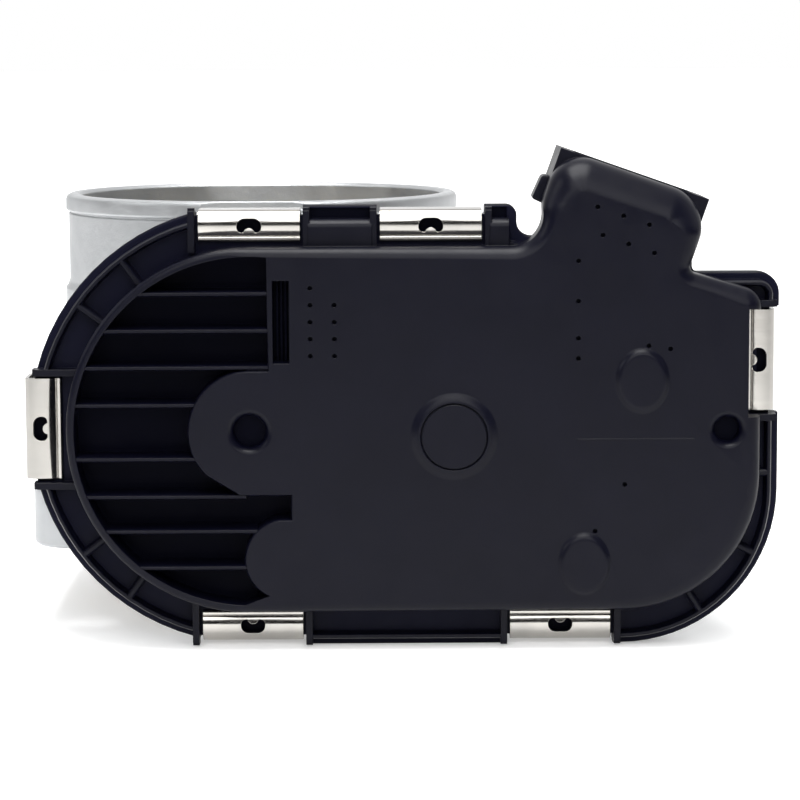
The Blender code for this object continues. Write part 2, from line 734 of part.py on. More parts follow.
def throttle_shaft():
    """Steel shaft with a slot for the plate and flats under the plate screws."""
    steps = [(SHAFT_TIP_R, SHAFT_TIP_Y), (SHAFT_TIP_R, SHAFT_Y[0]), (SHAFT_R, SHAFT_Y[0] + 0.05), (SHAFT_R, SHAFT_Y[1])]
    shaft = stepped_rod("throttle_shaft", (0, 0), steps, ROUND)
    tilt = CLOSED_DEG + REST_DEG
    cut(shaft, tilted_slab("slot", 10, PLATE_R + 0.1, PLATE_THICK / 2 + GAP, tilt))
    for y in PLATE_SCREWS_Y:
        flat = block("flat", (-8, y - 4.0, 3.6), (8, y + 4.0, 8))
        cut(shaft, plate_screw_axis(flat), plate_screw_axis(upright("hole", y, 1.9, -8, 8)))
    return shaft


def plate_screw(number, y):
    screw = upright(f"plate_screw_{number}", y, 1.5, -4.4, 5.0)
    join(screw, upright("head", y, 2.9, 3.6 + GAP, 5.2))
    return plate_screw_axis(screw)


def gear_segment():
    """Plastic toothed segment on the shaft."""
    pitch = 360.0 / SEGMENT_TEETH
    below = math.floor((math.degrees(IDLER_DIRECTION) - SEGMENT_SPAN_DEG[0]) / pitch)
    count = 1 + math.floor((SEGMENT_SPAN_DEG[1] - SEGMENT_SPAN_DEG[0]) / pitch)
    first = IDLER_DIRECTION - math.radians(below * pitch)
    teeth = gear_outline(SEGMENT_TEETH, DRIVE_MODULE, 0.75, first, count)
    start, end = SEGMENT_SPAN_DEG[0] - 4, SEGMENT_SPAN_DEG[1] + 4
    back = arc((0, 0), 9.5, end, 360 + start, 20)
    segment = slab("gear_segment", teeth + back, *SEGMENT_Y)
    join(segment, rod("hub", (0, 0), 8.2, -47.2, -39.9))
    for angle in (5, 37, 69):
        cut(segment, rod("window", on_circle((0, 0), 15.8, math.radians(angle)), 4.0, -50, -30, COARSE))
    return cut(segment, rod("shaft_hole", (0, 0), SHAFT_R + GAP, -50, -30))


def shaft_nut():
    """Hexagon nut that holds the segment on the shaft."""
    nut = slab("shaft_nut", circle((0, 0), 5.1, 6), SHAFT_TIP_Y + 0.1, -47.5)
    return cut(nut, rod("thread", (0, 0), SHAFT_TIP_R + GAP, -60, -30, COARSE))


def return_spring():
    """Torsion spring round the near bearing boss, with a straight tail at each end."""
    coil_r, wire_r, turns, per_turn = 14.3, 0.6, 2.25, 24
    first_y, pitch = -36.9, -1.45
    count = int(turns * per_turn)
    spine = []
    for step in range(count + 1):
        turn = 2 * math.pi * step / per_turn
        x, z = on_circle((0, 0), coil_r, turn + math.pi)
        spine.append(Vector((x, first_y + pitch * step / per_turn, z + SHAFT_Z)))
    tail = (spine[-1] - Vector((0, spine[-1].y, SHAFT_Z))).normalized()
    spine.append(spine[-1] + tail * 4.0)
    rings = []
    for index, point in enumerate(spine):
        ahead = (spine[min(index + 1, len(spine) - 1)] - spine[max(index - 1, 0)]).normalized()
        side = ahead.cross(Vector((0, 1, 0))).normalized()
        up = side.cross(ahead)
        angles = [2 * math.pi * corner / 6 for corner in range(6)]
        rings.append([point + (side * math.cos(a) + up * math.sin(a)) * wire_r for a in angles])
    return loft("return_spring", rings)


def bearing(name, y0):
    return ring(name, (0, 0), SHAFT_R + GAP, BEARING_R, y0, y0 + BEARING_WIDTH)


# ---------------------------------------------------------------- gears and motor


def intermediate_gear():
    """Large wheel and small pinion moulded as one, turning on a fixed pin."""
    wheel_tooth = MOTOR_DIRECTION
    pinion_tooth = IDLER_DIRECTION + math.pi + math.pi / IDLER_PINION_TEETH
    gear = slab("intermediate_gear", gear_outline(IDLER_WHEEL_TEETH, MOTOR_MODULE, 0.7, wheel_tooth), *WHEEL_Y, IDLER_AT)
    pinion = gear_outline(IDLER_PINION_TEETH, DRIVE_MODULE, 0.8, pinion_tooth)
    join(gear, slab("pinion", pinion, WHEEL_Y[1] - 0.5, SEGMENT_Y[1] + 0.5, IDLER_AT))
    for index in range(5):
        place = on_circle(IDLER_AT, 14.5, 2 * math.pi * index / 5)
        cut(gear, rod("window", place, 3.6, WHEEL_Y[0] - 2, WHEEL_Y[1] + 2, 12))
    return cut(gear, rod("pin_hole", IDLER_AT, IDLER_PIN_R + GAP, -60, -30, COARSE))


def motor_pinion():
    tooth = MOTOR_DIRECTION + math.pi + math.pi / MOTOR_PINION_TEETH
    outline = gear_outline(MOTOR_PINION_TEETH, MOTOR_MODULE, 0.9, tooth)
    pinion = slab("motor_pinion", outline, WHEEL_Y[0], WHEEL_Y[1] + 2.0, MOTOR_AT)
    return cut(pinion, rod("hole", MOTOR_AT, 1.9, -60, -30, COARSE))


def motor_can():
    """Deep-drawn steel can, closed at the back."""
    can = rod("motor_can", MOTOR_AT, MOTOR_R, *MOTOR_Y)
    return cut(can, rod("inside", MOTOR_AT, MOTOR_R - 1.2, MOTOR_Y[0] - 1, MOTOR_Y[1] - 1.2))


def motor_end_plate():
    """Front plate of the motor with a bearing boss and two screw ears."""
    front, back = MOTOR_Y[0] - 1.8, MOTOR_Y[0] - GAP
    plate = rod("motor_end_plate", MOTOR_AT, 17.4, front, back)
    join(plate, rod("boss", MOTOR_AT, 5.2, front - 2.2, front + 0.5, COARSE))
    for angle in EAR_DIRECTIONS_DEG:
        turn = math.radians(angle)
        place = on_circle(MOTOR_AT, EAR_AT, turn)
        side = Vector((-math.sin(turn), math.cos(turn))) * 3.2
        near = Vector(on_circle(MOTOR_AT, 12.0, turn))
        strip = [near - side, Vector(place) - side, Vector(place) + side, near + side]
        join(plate, slab("ear", strip, front, back), rod("ear_end", place, 3.2, front, back, COARSE))
        cut(plate, rod("ear_hole", place, 1.7, front - 1, back + 1, COARSE))
    return cut(plate, rod("shaft_hole", MOTOR_AT, 1.9, -60, -30, COARSE))


def motor_shaft():
    return rod("motor_shaft", MOTOR_AT, 1.6, WHEEL_Y[0] - 0.3, MOTOR_Y[1] - 2.0, COARSE)


def rotor_core():
    """Laminated rotor with open slots for the windings."""
    outline = []
    poles = 7
    for pole in range(poles):
        middle = 360.0 * pole / poles
        outline += arc((0, 0), 13.6, middle - 20, middle + 20, 4)
        outline += [on_circle((0, 0), 6.5, math.radians(middle + side)) for side in (16, 35.4)]
    core = slab("rotor_core", outline, -30.5, 6.0, MOTOR_AT)
    return cut(core, rod("hole", MOTOR_AT, 1.9, -40, 20, COARSE))


def commutator():
    return ring("commutator", MOTOR_AT, 1.9, 4.6, -36.4, -31.2, COARSE)


def motor_magnet(number, middle_deg):
    """Curved magnet inside the can."""
    outer, inner = MOTOR_R - 1.5, 14.3
    outline = arc((0, 0), outer, middle_deg - 62, middle_deg + 62, 12) + arc((0, 0), inner, middle_deg + 62, middle_deg - 62, 12)
    return slab(f"motor_magnet_{number}", outline, -31.0, 6.5, MOTOR_AT)


def brush(number, side):
    """Carbon brush pressed against the commutator."""
    x, z = MOTOR_AT
    near, far = x + side * (4.6 + GAP), x + side * 10.5
    return block(f"motor_brush_{number}", (min(near, far), -35.6, z - 1.6), (max(near, far), -32.4, z + 1.6))


def motor_screw(number, angle_deg):
    """Screw through an ear of the motor plate into the case floor."""
    place = on_circle(MOTOR_AT, EAR_AT, math.radians(angle_deg))
    head = MOTOR_Y[0] - 1.8 - GAP
    return stepped_rod(f"motor_screw_{number}", place, [(2.9, head - 1.8), (2.9, head), (1.35, head + 0.02), (1.35, CASE_FLOOR - GAP)], COARSE)


def motor_terminal(number, angle_deg):
    """Brass blade standing on the motor plate."""
    x, z = on_circle(MOTOR_AT, TERMINAL_AT, math.radians(angle_deg))
    return block(f"motor_terminal_{number}", (x - 2.0, -45.8, z - 0.4), (x + 2.0, MOTOR_Y[0] - 2.1, z + 0.4))


def motor_contact(number, angle_deg):
    """Sprung fork in the cover that takes a motor terminal."""
    x, z = on_circle(MOTOR_AT, TERMINAL_AT, math.radians(angle_deg))
    fork = block(f"motor_contact_{number}", (x - 2.6, COVER_INSIDE + GAP, z - 1.5), (x + 2.6, -43.6, z + 1.5))
    return cut(fork, block("jaw", (x - 4, -50.4, z - 0.8), (x + 4, -43, z + 0.8)))


def stop_screw():
    """Screw in the case floor that the segment meets when the plate is shut."""
    place = on_circle((0, 0), STOP_AT, math.radians(SHUT_STOP_DEG))
    return stepped_rod("stop_screw", place, [(2.0, -42.6), (2.0, -40.0), (1.2, -39.98), (1.2, CASE_FLOOR - GAP)], COARSE)


# ---------------------------------------------------------------- finish


def paint(made, name, colour, metallic, roughness):
    """Gives an object its own Principled material."""
    material = bpy.data.materials.new(f"{made.name}_{name}")
    material.use_nodes = True
    shader = material.node_tree.nodes["Principled BSDF"]
    shader.inputs["Base Color"].default_value = (*colour, 1.0)
    shader.inputs["Metallic"].default_value = metallic
    shader.inputs["Roughness"].default_value = roughness
    made.data.materials.clear()
    made.data.materials.append(material)


def smooth(made):
    """Shades round faces smooth and keeps the edges between flat ones."""
    made.data.polygons.foreach_set("use_smooth", [True] * len(made.data.polygons))
    made.data.set_sharp_from_angle(angle=math.radians(35))


def hang_on(made, centre):
    """Puts a moving piece's origin on its own axis, leaving its shape where it is."""
    origin = Vector((centre[0], 0.0, centre[1] + SHAFT_Z)) * MM
    for vertex in made.data.vertices:
        vertex.co -= origin
    made.location = origin


def stand_at_origin(pieces):
    """Moves every piece so that the origin is the bottom centre of the part."""
    bpy.context.view_layer.update()
    corners = [piece.matrix_world @ vertex.co for piece in pieces for vertex in piece.data.vertices]
    low = Vector(min(corner[axis] for corner in corners) for axis in range(3))
    high = Vector(max(corner[axis] for corner in corners) for axis in range(3))
    shift = Vector((-(low.x + high.x) / 2, -(low.y + high.y) / 2, -low.z))
    for piece in pieces:
        piece.location += shift


ALUMINIUM = ("cast_aluminium", (0.62, 0.63, 0.64), 1.0, 0.38)
PLASTIC = ("plastic", (0.015, 0.016, 0.022), 0.0, 0.5)
GEAR_PLASTIC = ("gear_plastic", (0.75, 0.70, 0.58), 0.0, 0.45)
STEEL = ("steel", (0.62, 0.61, 0.59), 1.0, 0.25)
BRASS = ("brass", (0.72, 0.52, 0.22), 1.0, 0.3)
RUBBER = ("rubber", (0.02, 0.02, 0.02), 0.0, 0.8)
MAGNET = ("magnet", (0.10, 0.10, 0.11), 0.2, 0.6)
COPPER = ("copper", (0.80, 0.42, 0.24), 1.0, 0.35)
BOARD = ("board", (0.03, 0.16, 0.07), 0.0, 0.5)
CARBON = ("carbon", (0.03, 0.03, 0.03), 0.1, 0.7)


def fixed_pieces():
    """Pieces that stay still: (object, finish)."""
    clips = [cover_clip(index + 1, side, at) for index, (side, at) in enumerate(CLIPS)]
    return [
        (housing(), ALUMINIUM),
        (flange_seal(), RUBBER),
        (cover_gasket(), RUBBER),
        (cover(), PLASTIC),
        (bearing("bearing_near", NEAR_BEARING_Y), STEEL),
        (bearing("bearing_far", FAR_BEARING_Y), STEEL),
        (rod("shaft_end_cap", (0, 0), BEARING_R - 0.2, 41.9, 43.4), STEEL),
        (return_spring(), STEEL),
        (rod("intermediate_gear_pin", IDLER_AT, IDLER_PIN_R, -52.0, -35.5, COARSE), STEEL),
        (motor_can(), STEEL),
        (motor_end_plate(), STEEL),
        (motor_magnet(1, 90), MAGNET),
        (motor_magnet(2, 270), MAGNET),
        (brush(1, -1), CARBON),
        (brush(2, 1), CARBON),
        (ring("sensor_board", (0, 0), 4.8, 8.2, COVER_INSIDE + GAP, -51.3), BOARD),
        (stop_screw(), STEEL),
        *[(motor_screw(index + 1, angle), STEEL) for index, angle in enumerate(EAR_DIRECTIONS_DEG)],
        *[(motor_terminal(index + 1, angle), BRASS) for index, angle in enumerate(TERMINAL_DIRECTIONS_DEG)],
        *[(motor_contact(index + 1, angle), BRASS) for index, angle in enumerate(TERMINAL_DIRECTIONS_DEG)],
        *[(pin, BRASS) for pin in connector_pins()],
        *[(clip, STEEL) for clip in clips],
    ]


def moving_pieces():
    """Pieces that turn: (object, finish, axis)."""
    shaft_axis = (0.0, 0.0)
    return [
        (throttle_shaft(), STEEL, shaft_axis),
        (throttle_plate(), BRASS, shaft_axis),
        *[(plate_screw(index + 1, y), STEEL, shaft_axis) for index, y in enumerate(PLATE_SCREWS_Y)],
        (gear_segment(), GEAR_PLASTIC, shaft_axis),
        (shaft_nut(), STEEL, shaft_axis),
        (ring("sensor_magnet", (0, 0), 5.6, 7.9, -50.2, -47.5), MAGNET, shaft_axis),
        (intermediate_gear(), GEAR_PLASTIC, IDLER_AT),
        (motor_shaft(), STEEL, MOTOR_AT),
        (motor_pinion(), BRASS, MOTOR_AT),
        (rotor_core(), STEEL, MOTOR_AT),
        (commutator(), COPPER, MOTOR_AT),
    ]


def main():
    for leftover in list(bpy.data.objects):
        bpy.data.objects.remove(leftover)
    still = fixed_pieces()
    moving = moving_pieces()
    for made, _, axis in moving:
        hang_on(made, axis)
    for made, finish, *_ in still + moving:
        paint(made, *finish)
        smooth(made)
    stand_at_origin([made for made, *_ in still + moving])


main()
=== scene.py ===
"""Looks of an electronic throttle body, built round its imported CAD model.

Shapes are drawn in millimetres from the throttle shaft: x to the right, y away from the cover, z up.
to_world() turns them into metres in the shared frame.
"""

import json
import math

import bmesh
import bpy
from mathutils import Euler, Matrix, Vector


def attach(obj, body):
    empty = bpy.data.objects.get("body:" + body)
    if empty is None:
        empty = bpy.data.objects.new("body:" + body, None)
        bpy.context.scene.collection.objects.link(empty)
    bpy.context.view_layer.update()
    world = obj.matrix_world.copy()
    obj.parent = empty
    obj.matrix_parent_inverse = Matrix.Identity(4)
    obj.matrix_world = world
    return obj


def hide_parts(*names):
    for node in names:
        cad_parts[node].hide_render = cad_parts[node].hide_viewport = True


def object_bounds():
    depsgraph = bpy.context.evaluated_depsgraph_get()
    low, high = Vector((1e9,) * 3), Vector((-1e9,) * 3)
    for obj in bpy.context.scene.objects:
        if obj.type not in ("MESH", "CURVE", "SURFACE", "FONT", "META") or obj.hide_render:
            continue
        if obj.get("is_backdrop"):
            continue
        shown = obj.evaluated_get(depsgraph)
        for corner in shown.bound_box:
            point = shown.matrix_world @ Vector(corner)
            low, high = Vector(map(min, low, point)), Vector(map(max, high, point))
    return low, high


MM = 0.001

# Depths along the shaft, from the cover's front to the far end.
COVER_FRONT = -55.0
COVER_INSIDE = -52.6
RECESS_FLOOR = -48.6
RECESS_INSIDE = -46.6
RIB_FRONT = -50.5
RIM_FRONT = -48.0
COVER_BACK = -45.5
CASE_FRONT = -45.0
LIP_BACK = -42.0
CASE_FLOOR = -37.5
CASE_BACK = -34.5

# The edge shared by cover and case: two round ends with a stepped top.
RIM_R = 36.4
RIM_RIGHT = 86.6
RIM_CORNER_R = 25.7
RIM_RIGHT_TOP = 25.2
SADDLE = (43.6, 72.3)
SADDLE_Z = 31.2
CASE_SADDLE_Z = 30.0
CASE_INSET = 3.4
RIB_INSET = (1.3, 2.2)
RIB_DRAFT = 0.15
RIB_ROUND = 0.4
RIB_CREST = 0.45
SPOKE_HALF = (0.72, 0.55, 0.25)
SEAM = 0.05  # flat left between the two arcs of a round end

# The raised front of the cover.
BOX_R = 29.8
BOX_RIGHT = 83.0
BOX_CORNER_R = 22.2
BOX_RIGHT_TOP = 22.3
SLOPE_START = (71.0, 25.7)
BOX_WALL = 2.2
EDGE_ROUND = 2.1
EDGE_SWEEP = math.radians(70.0)
THIN_WALL_ROUND = 0.75
HOOD_RIGHT_ROUND = 2.6
HOOD_LEFT_ROUND = 4.4
HOOD_TOP_ROUND = 5.2

# The finned recess on the left.
RECESS_R = 28.5
RECESS_RIGHT = 3.0
PAD_R = 10.1
LOBE_AT = (5.8, -21.0)
LOBE_R = 6.8
NOTCH_RIGHT = 6.6
NOTCH_Z = (-14.3, -10.5)
NOTCH_LEFT = -1.5
FIN_THICK = 0.8
FINS = (
    (22.5, 3.4),
    (16.5, 3.4),
    (10.5, 3.4),
    (4.4, -8.8),
    (-4.4, -8.8),
    (-10.6, -0.6),
    (-16.3, 1.2),
    (-22.3, -0.4),
)
SLOT = ((3.9, 11.2), (6.6, 24.6))
SLOT_FLOOR = -50.0
RIDGE_FRONT = -51.4
RIDGE_HALF = 0.2

# Round details: (centre, radius) and (centre, half width, half height). Profiles are measured from
# the cover's front: (times the half size, y) for a boss, and (added to the radius, y) for the rest.
SOCKETS = (((0.0, 0.0), 2.6), ((77.6, 0.0), 2.0))
SOCKET_FLOOR = -51.8
SOCKET_MOUTH = ((1.5, -1.0), (1.3, -0.05), (0.6, 0.35), (0.15, 0.9), (0.0, 1.6))
BOSSES = (((33.2, -0.8), 6.6, 6.6), ((63.7, 8.1), 4.1, 5.0), ((54.4, -21.9), 4.0, 4.9))
INNER_BOSS_R = 5.2
INNER_BOSS_GROOVE = ((0.45, -1.2), (0.2, -0.3))
INNER_BOSS_CORE = ((-0.5, -2.0), (0.0, -0.75), (0.0, 1.0))
BOSS_PROFILE = (
    (1.18, 0.3),
    (1.1, 0.0),
    (1.05, -0.1),
    (0.98, -0.42),
    (0.91, -0.68),
    (0.85, -0.75),
    (0.78, -0.75),
)
DIMPLE_R = 0.38
DIMPLE_ROW = (12.4, 2.75)
WITNESS_LINE = ((53.2, -1.5), (72.1, -1.3))
LEFT_RIBS_DEG = (127.0, 144.0, 217.0, 234.0)
RIGHT_RIBS_DEG = (-25.6, -56.9)
RIGHT_RIB_Z = -7.7

# Steel clips: the side each one sits on, and where its middle is along that side.
CLIPS = (("left", 0.0), ("top", 0.0), ("top", 29.6), ("right", 10.8), ("bottom", 0.0), ("bottom", 50.8))
CLIP_LENGTH = 16.6
CLIP_STEEL = 0.6
CLIP_OUT = 35.7
CLIP_FRONT = -49.2
CLIP_BULGE_R = 4.5
CLIP_BEND_R = 1.5
CLIP_BEND_DEG = -70.0
CLIP_BACK_R = 0.95
CLIP_LIP = ((0.0, 0.95), (0.1, 0.6), (0.35, 0.42), (0.7, 0.42), (0.9, 0.55))
LIP_AT = {"left": 29.5, "top": 30.5, "right": 31.0, "bottom": 30.5}
NOTCH_LENGTH = 17.6
LEFT_SHIFT = 1.4
RIGHT_SHIFT = RIM_RIGHT - RIM_R
POCKET_WIDTH = 5.6
POCKET_REACH = (31.6, 34.4)
TOP_BARS = ((9.9, 19.7), (39.5, 42.0))
BAR_REACH = (29.5, 34.2)
BAR_ROUND = 1.4
SADDLE_FLOOR = ((TOP_BARS[-1][1] + 0.6, 30.4), (48.6, RIM_R + 1))
CHEEK_THICK = 1.1
CHEEK_REACH = {
    "left": (26.7, 34.2),
    "top": (28.8, RIM_R - 0.3),
    "right": (32.4, RIM_R - 0.6),
    "bottom": (28.8, RIM_R - 0.3),
}

# The plug shroud, tilted to the right.
HOOD_AT = (62.9, 41.3)
HOOD_TILT = math.radians(19.4)
HOOD_ACROSS = (math.cos(HOOD_TILT), -math.sin(HOOD_TILT))
HOOD_OUT = (math.sin(HOOD_TILT), math.cos(HOOD_TILT))
HOOD_HALF = 12.8
HOOD_NECK_HALF = 13.0
HOOD_COLLAR = 4.6
HOOD_FRONT = -50.0
HOOD_BACK = -34.0
HOOD_FLOOR_Z = 30.3
NOSE_Y = (-46.5, -41.0)
SOCKET_HALF = 10.4
SOCKET_DEPTH = 7.0
SOCKET_Y = (-48.2, -36.0)
PIN_ROWS_Y = (-45.6, -38.6)
PIN_COLUMNS_U = (-6.0, 0.0, 6.0)
PIN_HALF = 0.45
PIN_FOOT = 1.0
GUIDES_U = (-4.0, 4.0)
GUIDE_HALF = 0.6

# The cast body.
BORE_R = 32.2
NECK_R = 34.4
BARREL_R = 35.1
BARREL_TOP = 20.1
NECK_TOP = 36.2
BEAD_R = 34.9
BEAD_HEIGHT = 2.9
FLANGE_HALF = 38.0
FLANGE_CORNER_R = 8.0
FLANGE_BOTTOM = -22.0
FLANGE_TOP = -11.9
FLANGE_HOLE_AT = 29.5
FLANGE_HOLE_R = 3.2
SEAL_GROOVE_R = (33.6, 36.4)
SEAL_GROOVE_DEPTH = 2.2
NEAR_BOSS_R = 11.6
FAR_BOSS_R = 12.4
FAR_BOSS_Y = 44.4
SEAL_R = 30.2
SEAL_RIGHT = 83.4
SEAL_CORNER_R = 22.5
SEAL_RIGHT_TOP = 21.0
SEAL_SADDLE = (40.5, 69.5)
SEAL_SADDLE_Z = 26.6
SEAL_HALF = 0.9
SEAL_DEPTH = 1.9
CHAMBER_INSET = 2.0
BEARING_R = 9.5
BEARING_WIDTH = 5.0
NEAR_BEARING_Y = -39.0
FAR_BEARING_Y = 36.0
SPRING_GROOVE_R = (12.4, 16.6)
SPRING_GROOVE_Y = (CASE_FLOOR - 0.7, -35.9)
OPEN_STOP_AT = 23.2
OPEN_STOP_DEG = -109.8
OPEN_STOP_R = 2.0
IDLER_PIN_R = 2.5
IDLER_BOSS_R = 5.0
MOTOR_R = 18.0
MOTOR_BACK = 13.5
MOTOR_BAY_R = 21.4
MOTOR_BAY_BACK = 18.0
WEBS = ((4, 7), (-14, -11))  # bottom and top of each
GAP = 0.3  # clearance round a piece
QUARTER_TURN = [math.pi / 2 * step / 5 for step in range(6)]

# The throttle.
PLATE_R = 31.8
PLATE_THICK = 1.5
CLOSED_DEG = 5.0
REST_DEG = 6.0
PLATE_SCREWS_Y = (-11.0, 11.0)
PLATE_SCREW_HOLE_R = 1.9
SHAFT_R = 5.0
SHAFT_ENDS = (-46.8, 41.6)
SHAFT_TIP_R = 3.0
SHAFT_TIP_Y = -49.0
SHAFT_FLAT_Z = 3.6

# Plain finishes: two tones and a roughness. A metal also has its grain per metre and that grain's stretch.
ACROSS = (1.0, 0.06, 1.0)
ALONG = (0.06, 1.0, 1.0)
MOULDED = {
    "seal_rubber": ((0.010, 0.010, 0.010), (0.020, 0.020, 0.020), 0.75),
    "gear_plastic": ((0.66, 0.60, 0.46), (0.78, 0.72, 0.58), 0.45),
    "magnet_ferrite": ((0.05, 0.05, 0.055), (0.10, 0.10, 0.11), 0.6),
    "brush_carbon": ((0.02, 0.02, 0.02), (0.04, 0.04, 0.04), 0.7),
    "circuit_board": ((0.01, 0.09, 0.03), (0.02, 0.15, 0.06), 0.4),
}
METALS = {
    "clip_steel": ((0.35, 0.34, 0.32), (0.47, 0.45, 0.42), 0.13, 1500.0, ALONG),
    "machined_steel": ((0.50, 0.50, 0.50), (0.68, 0.68, 0.67), 0.28, 2500.0, ACROSS),
    "plate_brass": ((0.62, 0.44, 0.18), (0.78, 0.58, 0.26), 0.30, 2000.0, ALONG),
    "contact_brass": ((0.66, 0.50, 0.22), (0.80, 0.62, 0.30), 0.25, 3000.0, ACROSS),
    "pinion_brass": ((0.62, 0.44, 0.18), (0.78, 0.58, 0.26), 0.30, 2000.0, ACROSS),
    "commutator_copper": ((0.66, 0.33, 0.18), (0.84, 0.46, 0.28), 0.30, 2500.0, ACROSS),
    "rotor_iron": ((0.22, 0.22, 0.23), (0.34, 0.34, 0.35), 0.45, 1800.0, ACROSS),
}
NOISE_RANGE = (0.3, 0.7)  # where nearly all values of a noise texture lie

# The stage, in metres: each light's place, its size and its watts.
AIM = (0.0, 0.0, 0.04)
LIGHTS = {
    "overhead": ((0.0, -0.14, 0.74), (0.4, 0.5), 8.5),
    "front_top": ((0.0, -0.60, 0.44), (0.7, 0.5), 4.2),
    "key": ((-0.85, -0.22, 0.50), (0.4, 0.4), 1.6),
    "fill": ((0.85, -0.05, 0.45), (0.4, 0.4), 0.4),
}
FLOOR = ((-4.0, -2.0), (4.0, 9.0))

# The camera, in millimetres from the shaft.
CAMERA_AT = (22.9, -520.4, 63.0)
CAMERA_PITCH_DEG = 7.08
CAMERA_YAW_DEG = 0.19
CAMERA_ROLL_DEG = -0.26
CAMERA_LENS = 130.4

SHARP_EDGE = math.radians(32.0)

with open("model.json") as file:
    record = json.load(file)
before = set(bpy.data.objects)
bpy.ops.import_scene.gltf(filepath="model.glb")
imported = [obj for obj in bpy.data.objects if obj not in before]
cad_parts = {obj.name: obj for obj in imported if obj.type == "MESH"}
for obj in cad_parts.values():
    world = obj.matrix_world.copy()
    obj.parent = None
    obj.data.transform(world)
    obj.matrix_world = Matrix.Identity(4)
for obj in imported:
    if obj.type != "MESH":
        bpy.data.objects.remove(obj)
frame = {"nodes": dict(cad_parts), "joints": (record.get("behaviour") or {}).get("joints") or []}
cad_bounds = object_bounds()


def joint_place(name):
    """Where a joint's axis stands in the frame."""
    return Vector(next(joint["pos_m"] for joint in frame["joints"] if joint["name"] == name))


SHAFT_AT = joint_place("throttle_turn")


def from_shaft(name):
    """Where a joint's axis crosses the XZ plane, in millimetres from the shaft."""
    offset = (joint_place(name) - SHAFT_AT) / MM
    return (offset.x, offset.z)


IDLER_AT = from_shaft("intermediate_turn")
MOTOR_AT = from_shaft("rotor_turn")


# ---- outlines in the XZ plane


def to_world(x, y, z):
    return SHAFT_AT + Vector((x, y, z)) * MM


def on_circle(centre, radius, angle):
    return (centre[0] + radius * math.cos(angle), centre[1] + radius * math.sin(angle))


def arc(centre, radius, start_deg, end_deg, step_deg=4.0):
    """Points along an arc, both ends included."""
    count = max(2, round(abs(end_deg - start_deg) / step_deg))
    turns = [start_deg + (end_deg - start_deg) * index / count for index in range(count + 1)]
    return [on_circle(centre, radius, math.radians(turn)) for turn in turns]


def circle(centre, radius, sides=48):
    return arc(centre, radius, 0.0, 360.0, 360.0 / sides)[:-1]


def rectangle(low, high):
    return [low, (high[0], low[1]), high, (low[0], high[1])]


def rounded(corners, step_deg=5.0):
    """The polygon of (x, z, radius) corners with each corner turned into an arc."""
    points = []
    for index, (x, z, radius) in enumerate(corners):
        here = Vector((x, z))
        before = (Vector(corners[index - 1][:2]) - here).normalized()
        after = (Vector(corners[(index + 1) % len(corners)][:2]) - here).normalized()
        half = before.angle(after) / 2
        middle = here + (before + after).normalized() * (radius / math.sin(half))
        start = here + before * (radius / math.tan(half)) - middle
        end = here + after * (radius / math.tan(half)) - middle
        sweep = start.angle_signed(end)
        steps = max(2, round(abs(math.degrees(sweep)) / step_deg))
        first = math.atan2(start.y, start.x)
        points += [on_circle(middle, radius, first - sweep * step / steps) for step in range(steps + 1)]
    return points


def outward_normals(outline):
    """Unit normals of a closed outline, pointing out of it."""
    area = sum(a[0] * b[1] - b[0] * a[1] for a, b in zip(outline, outline[1:] + outline[:1]))
    turn = 1.0 if area > 0 else -1.0
    normals = []
    for index, point in enumerate(outline):
        here = Vector(point)
        before = (here - Vector(outline[index - 1])).normalized()
        after = (Vector(outline[(index + 1) % len(outline)]) - here).normalized()
        along = (before + after).normalized()
        normals.append(Vector((along.y, -along.x)) * turn)
    return normals


def grown(outline, distance):
    """The outline moved outwards by a distance."""
    normals = outward_normals(outline)
    return [tuple(Vector(point) + normal * distance) for point, normal in zip(outline, normals)]


def round_ended(edge, *corners):
    """An outline with a half-round left end, closed on the right by rounded (x, z, radius) corners."""
    radius = edge - SEAM
    return rounded([(-edge, -edge, radius), *corners, (-edge, edge, radius)])


def rim_outline(inset, saddle_z=SADDLE_Z):
    """The outer edge of the cover, moved inwards."""
    edge = RIM_R - inset
    return round_ended(
        edge,
        (RIM_RIGHT - inset, -edge, RIM_CORNER_R - inset),
        (RIM_RIGHT - inset, RIM_RIGHT_TOP - inset, 3.6 - min(inset, 2.6)),
        (SADDLE[1], RIM_RIGHT_TOP - inset, 1.0),
        (SADDLE[1], saddle_z - inset, 1.0),
        (SADDLE[0] - inset, saddle_z - inset, 2.4),
        (SADDLE[0] - inset, edge, 1.8),
    )


def box_outline(inset):
    """The raised front without the plug shroud, moved inwards."""
    edge = BOX_R - inset
    return round_ended(
        edge,
        (BOX_RIGHT - inset, -edge, BOX_CORNER_R - inset),
        (BOX_RIGHT - inset, BOX_RIGHT_TOP - inset, 2.2),
        (SLOPE_START[0], SLOPE_START[1] - inset, 1.2),
        (SLOPE_START[0], edge, 0.8),
    )


def hood_point(u, v):
    """A point of the plug shroud, u across it and v out of it."""
    return tuple(at + across * u + out * v for at, across, out in zip(HOOD_AT, HOOD_ACROSS, HOOD_OUT))


def hood_box(low, high):
    """A rectangle in the plug shroud's own directions, between two (u, v) corners."""
    return [hood_point(u, v) for u, v in rectangle(low, high)]


def hood_height(point):
    """How far a point lies out along the plug shroud."""
    return (point[0] - HOOD_AT[0]) * HOOD_OUT[0] + (point[1] - HOOD_AT[1]) * HOOD_OUT[1]


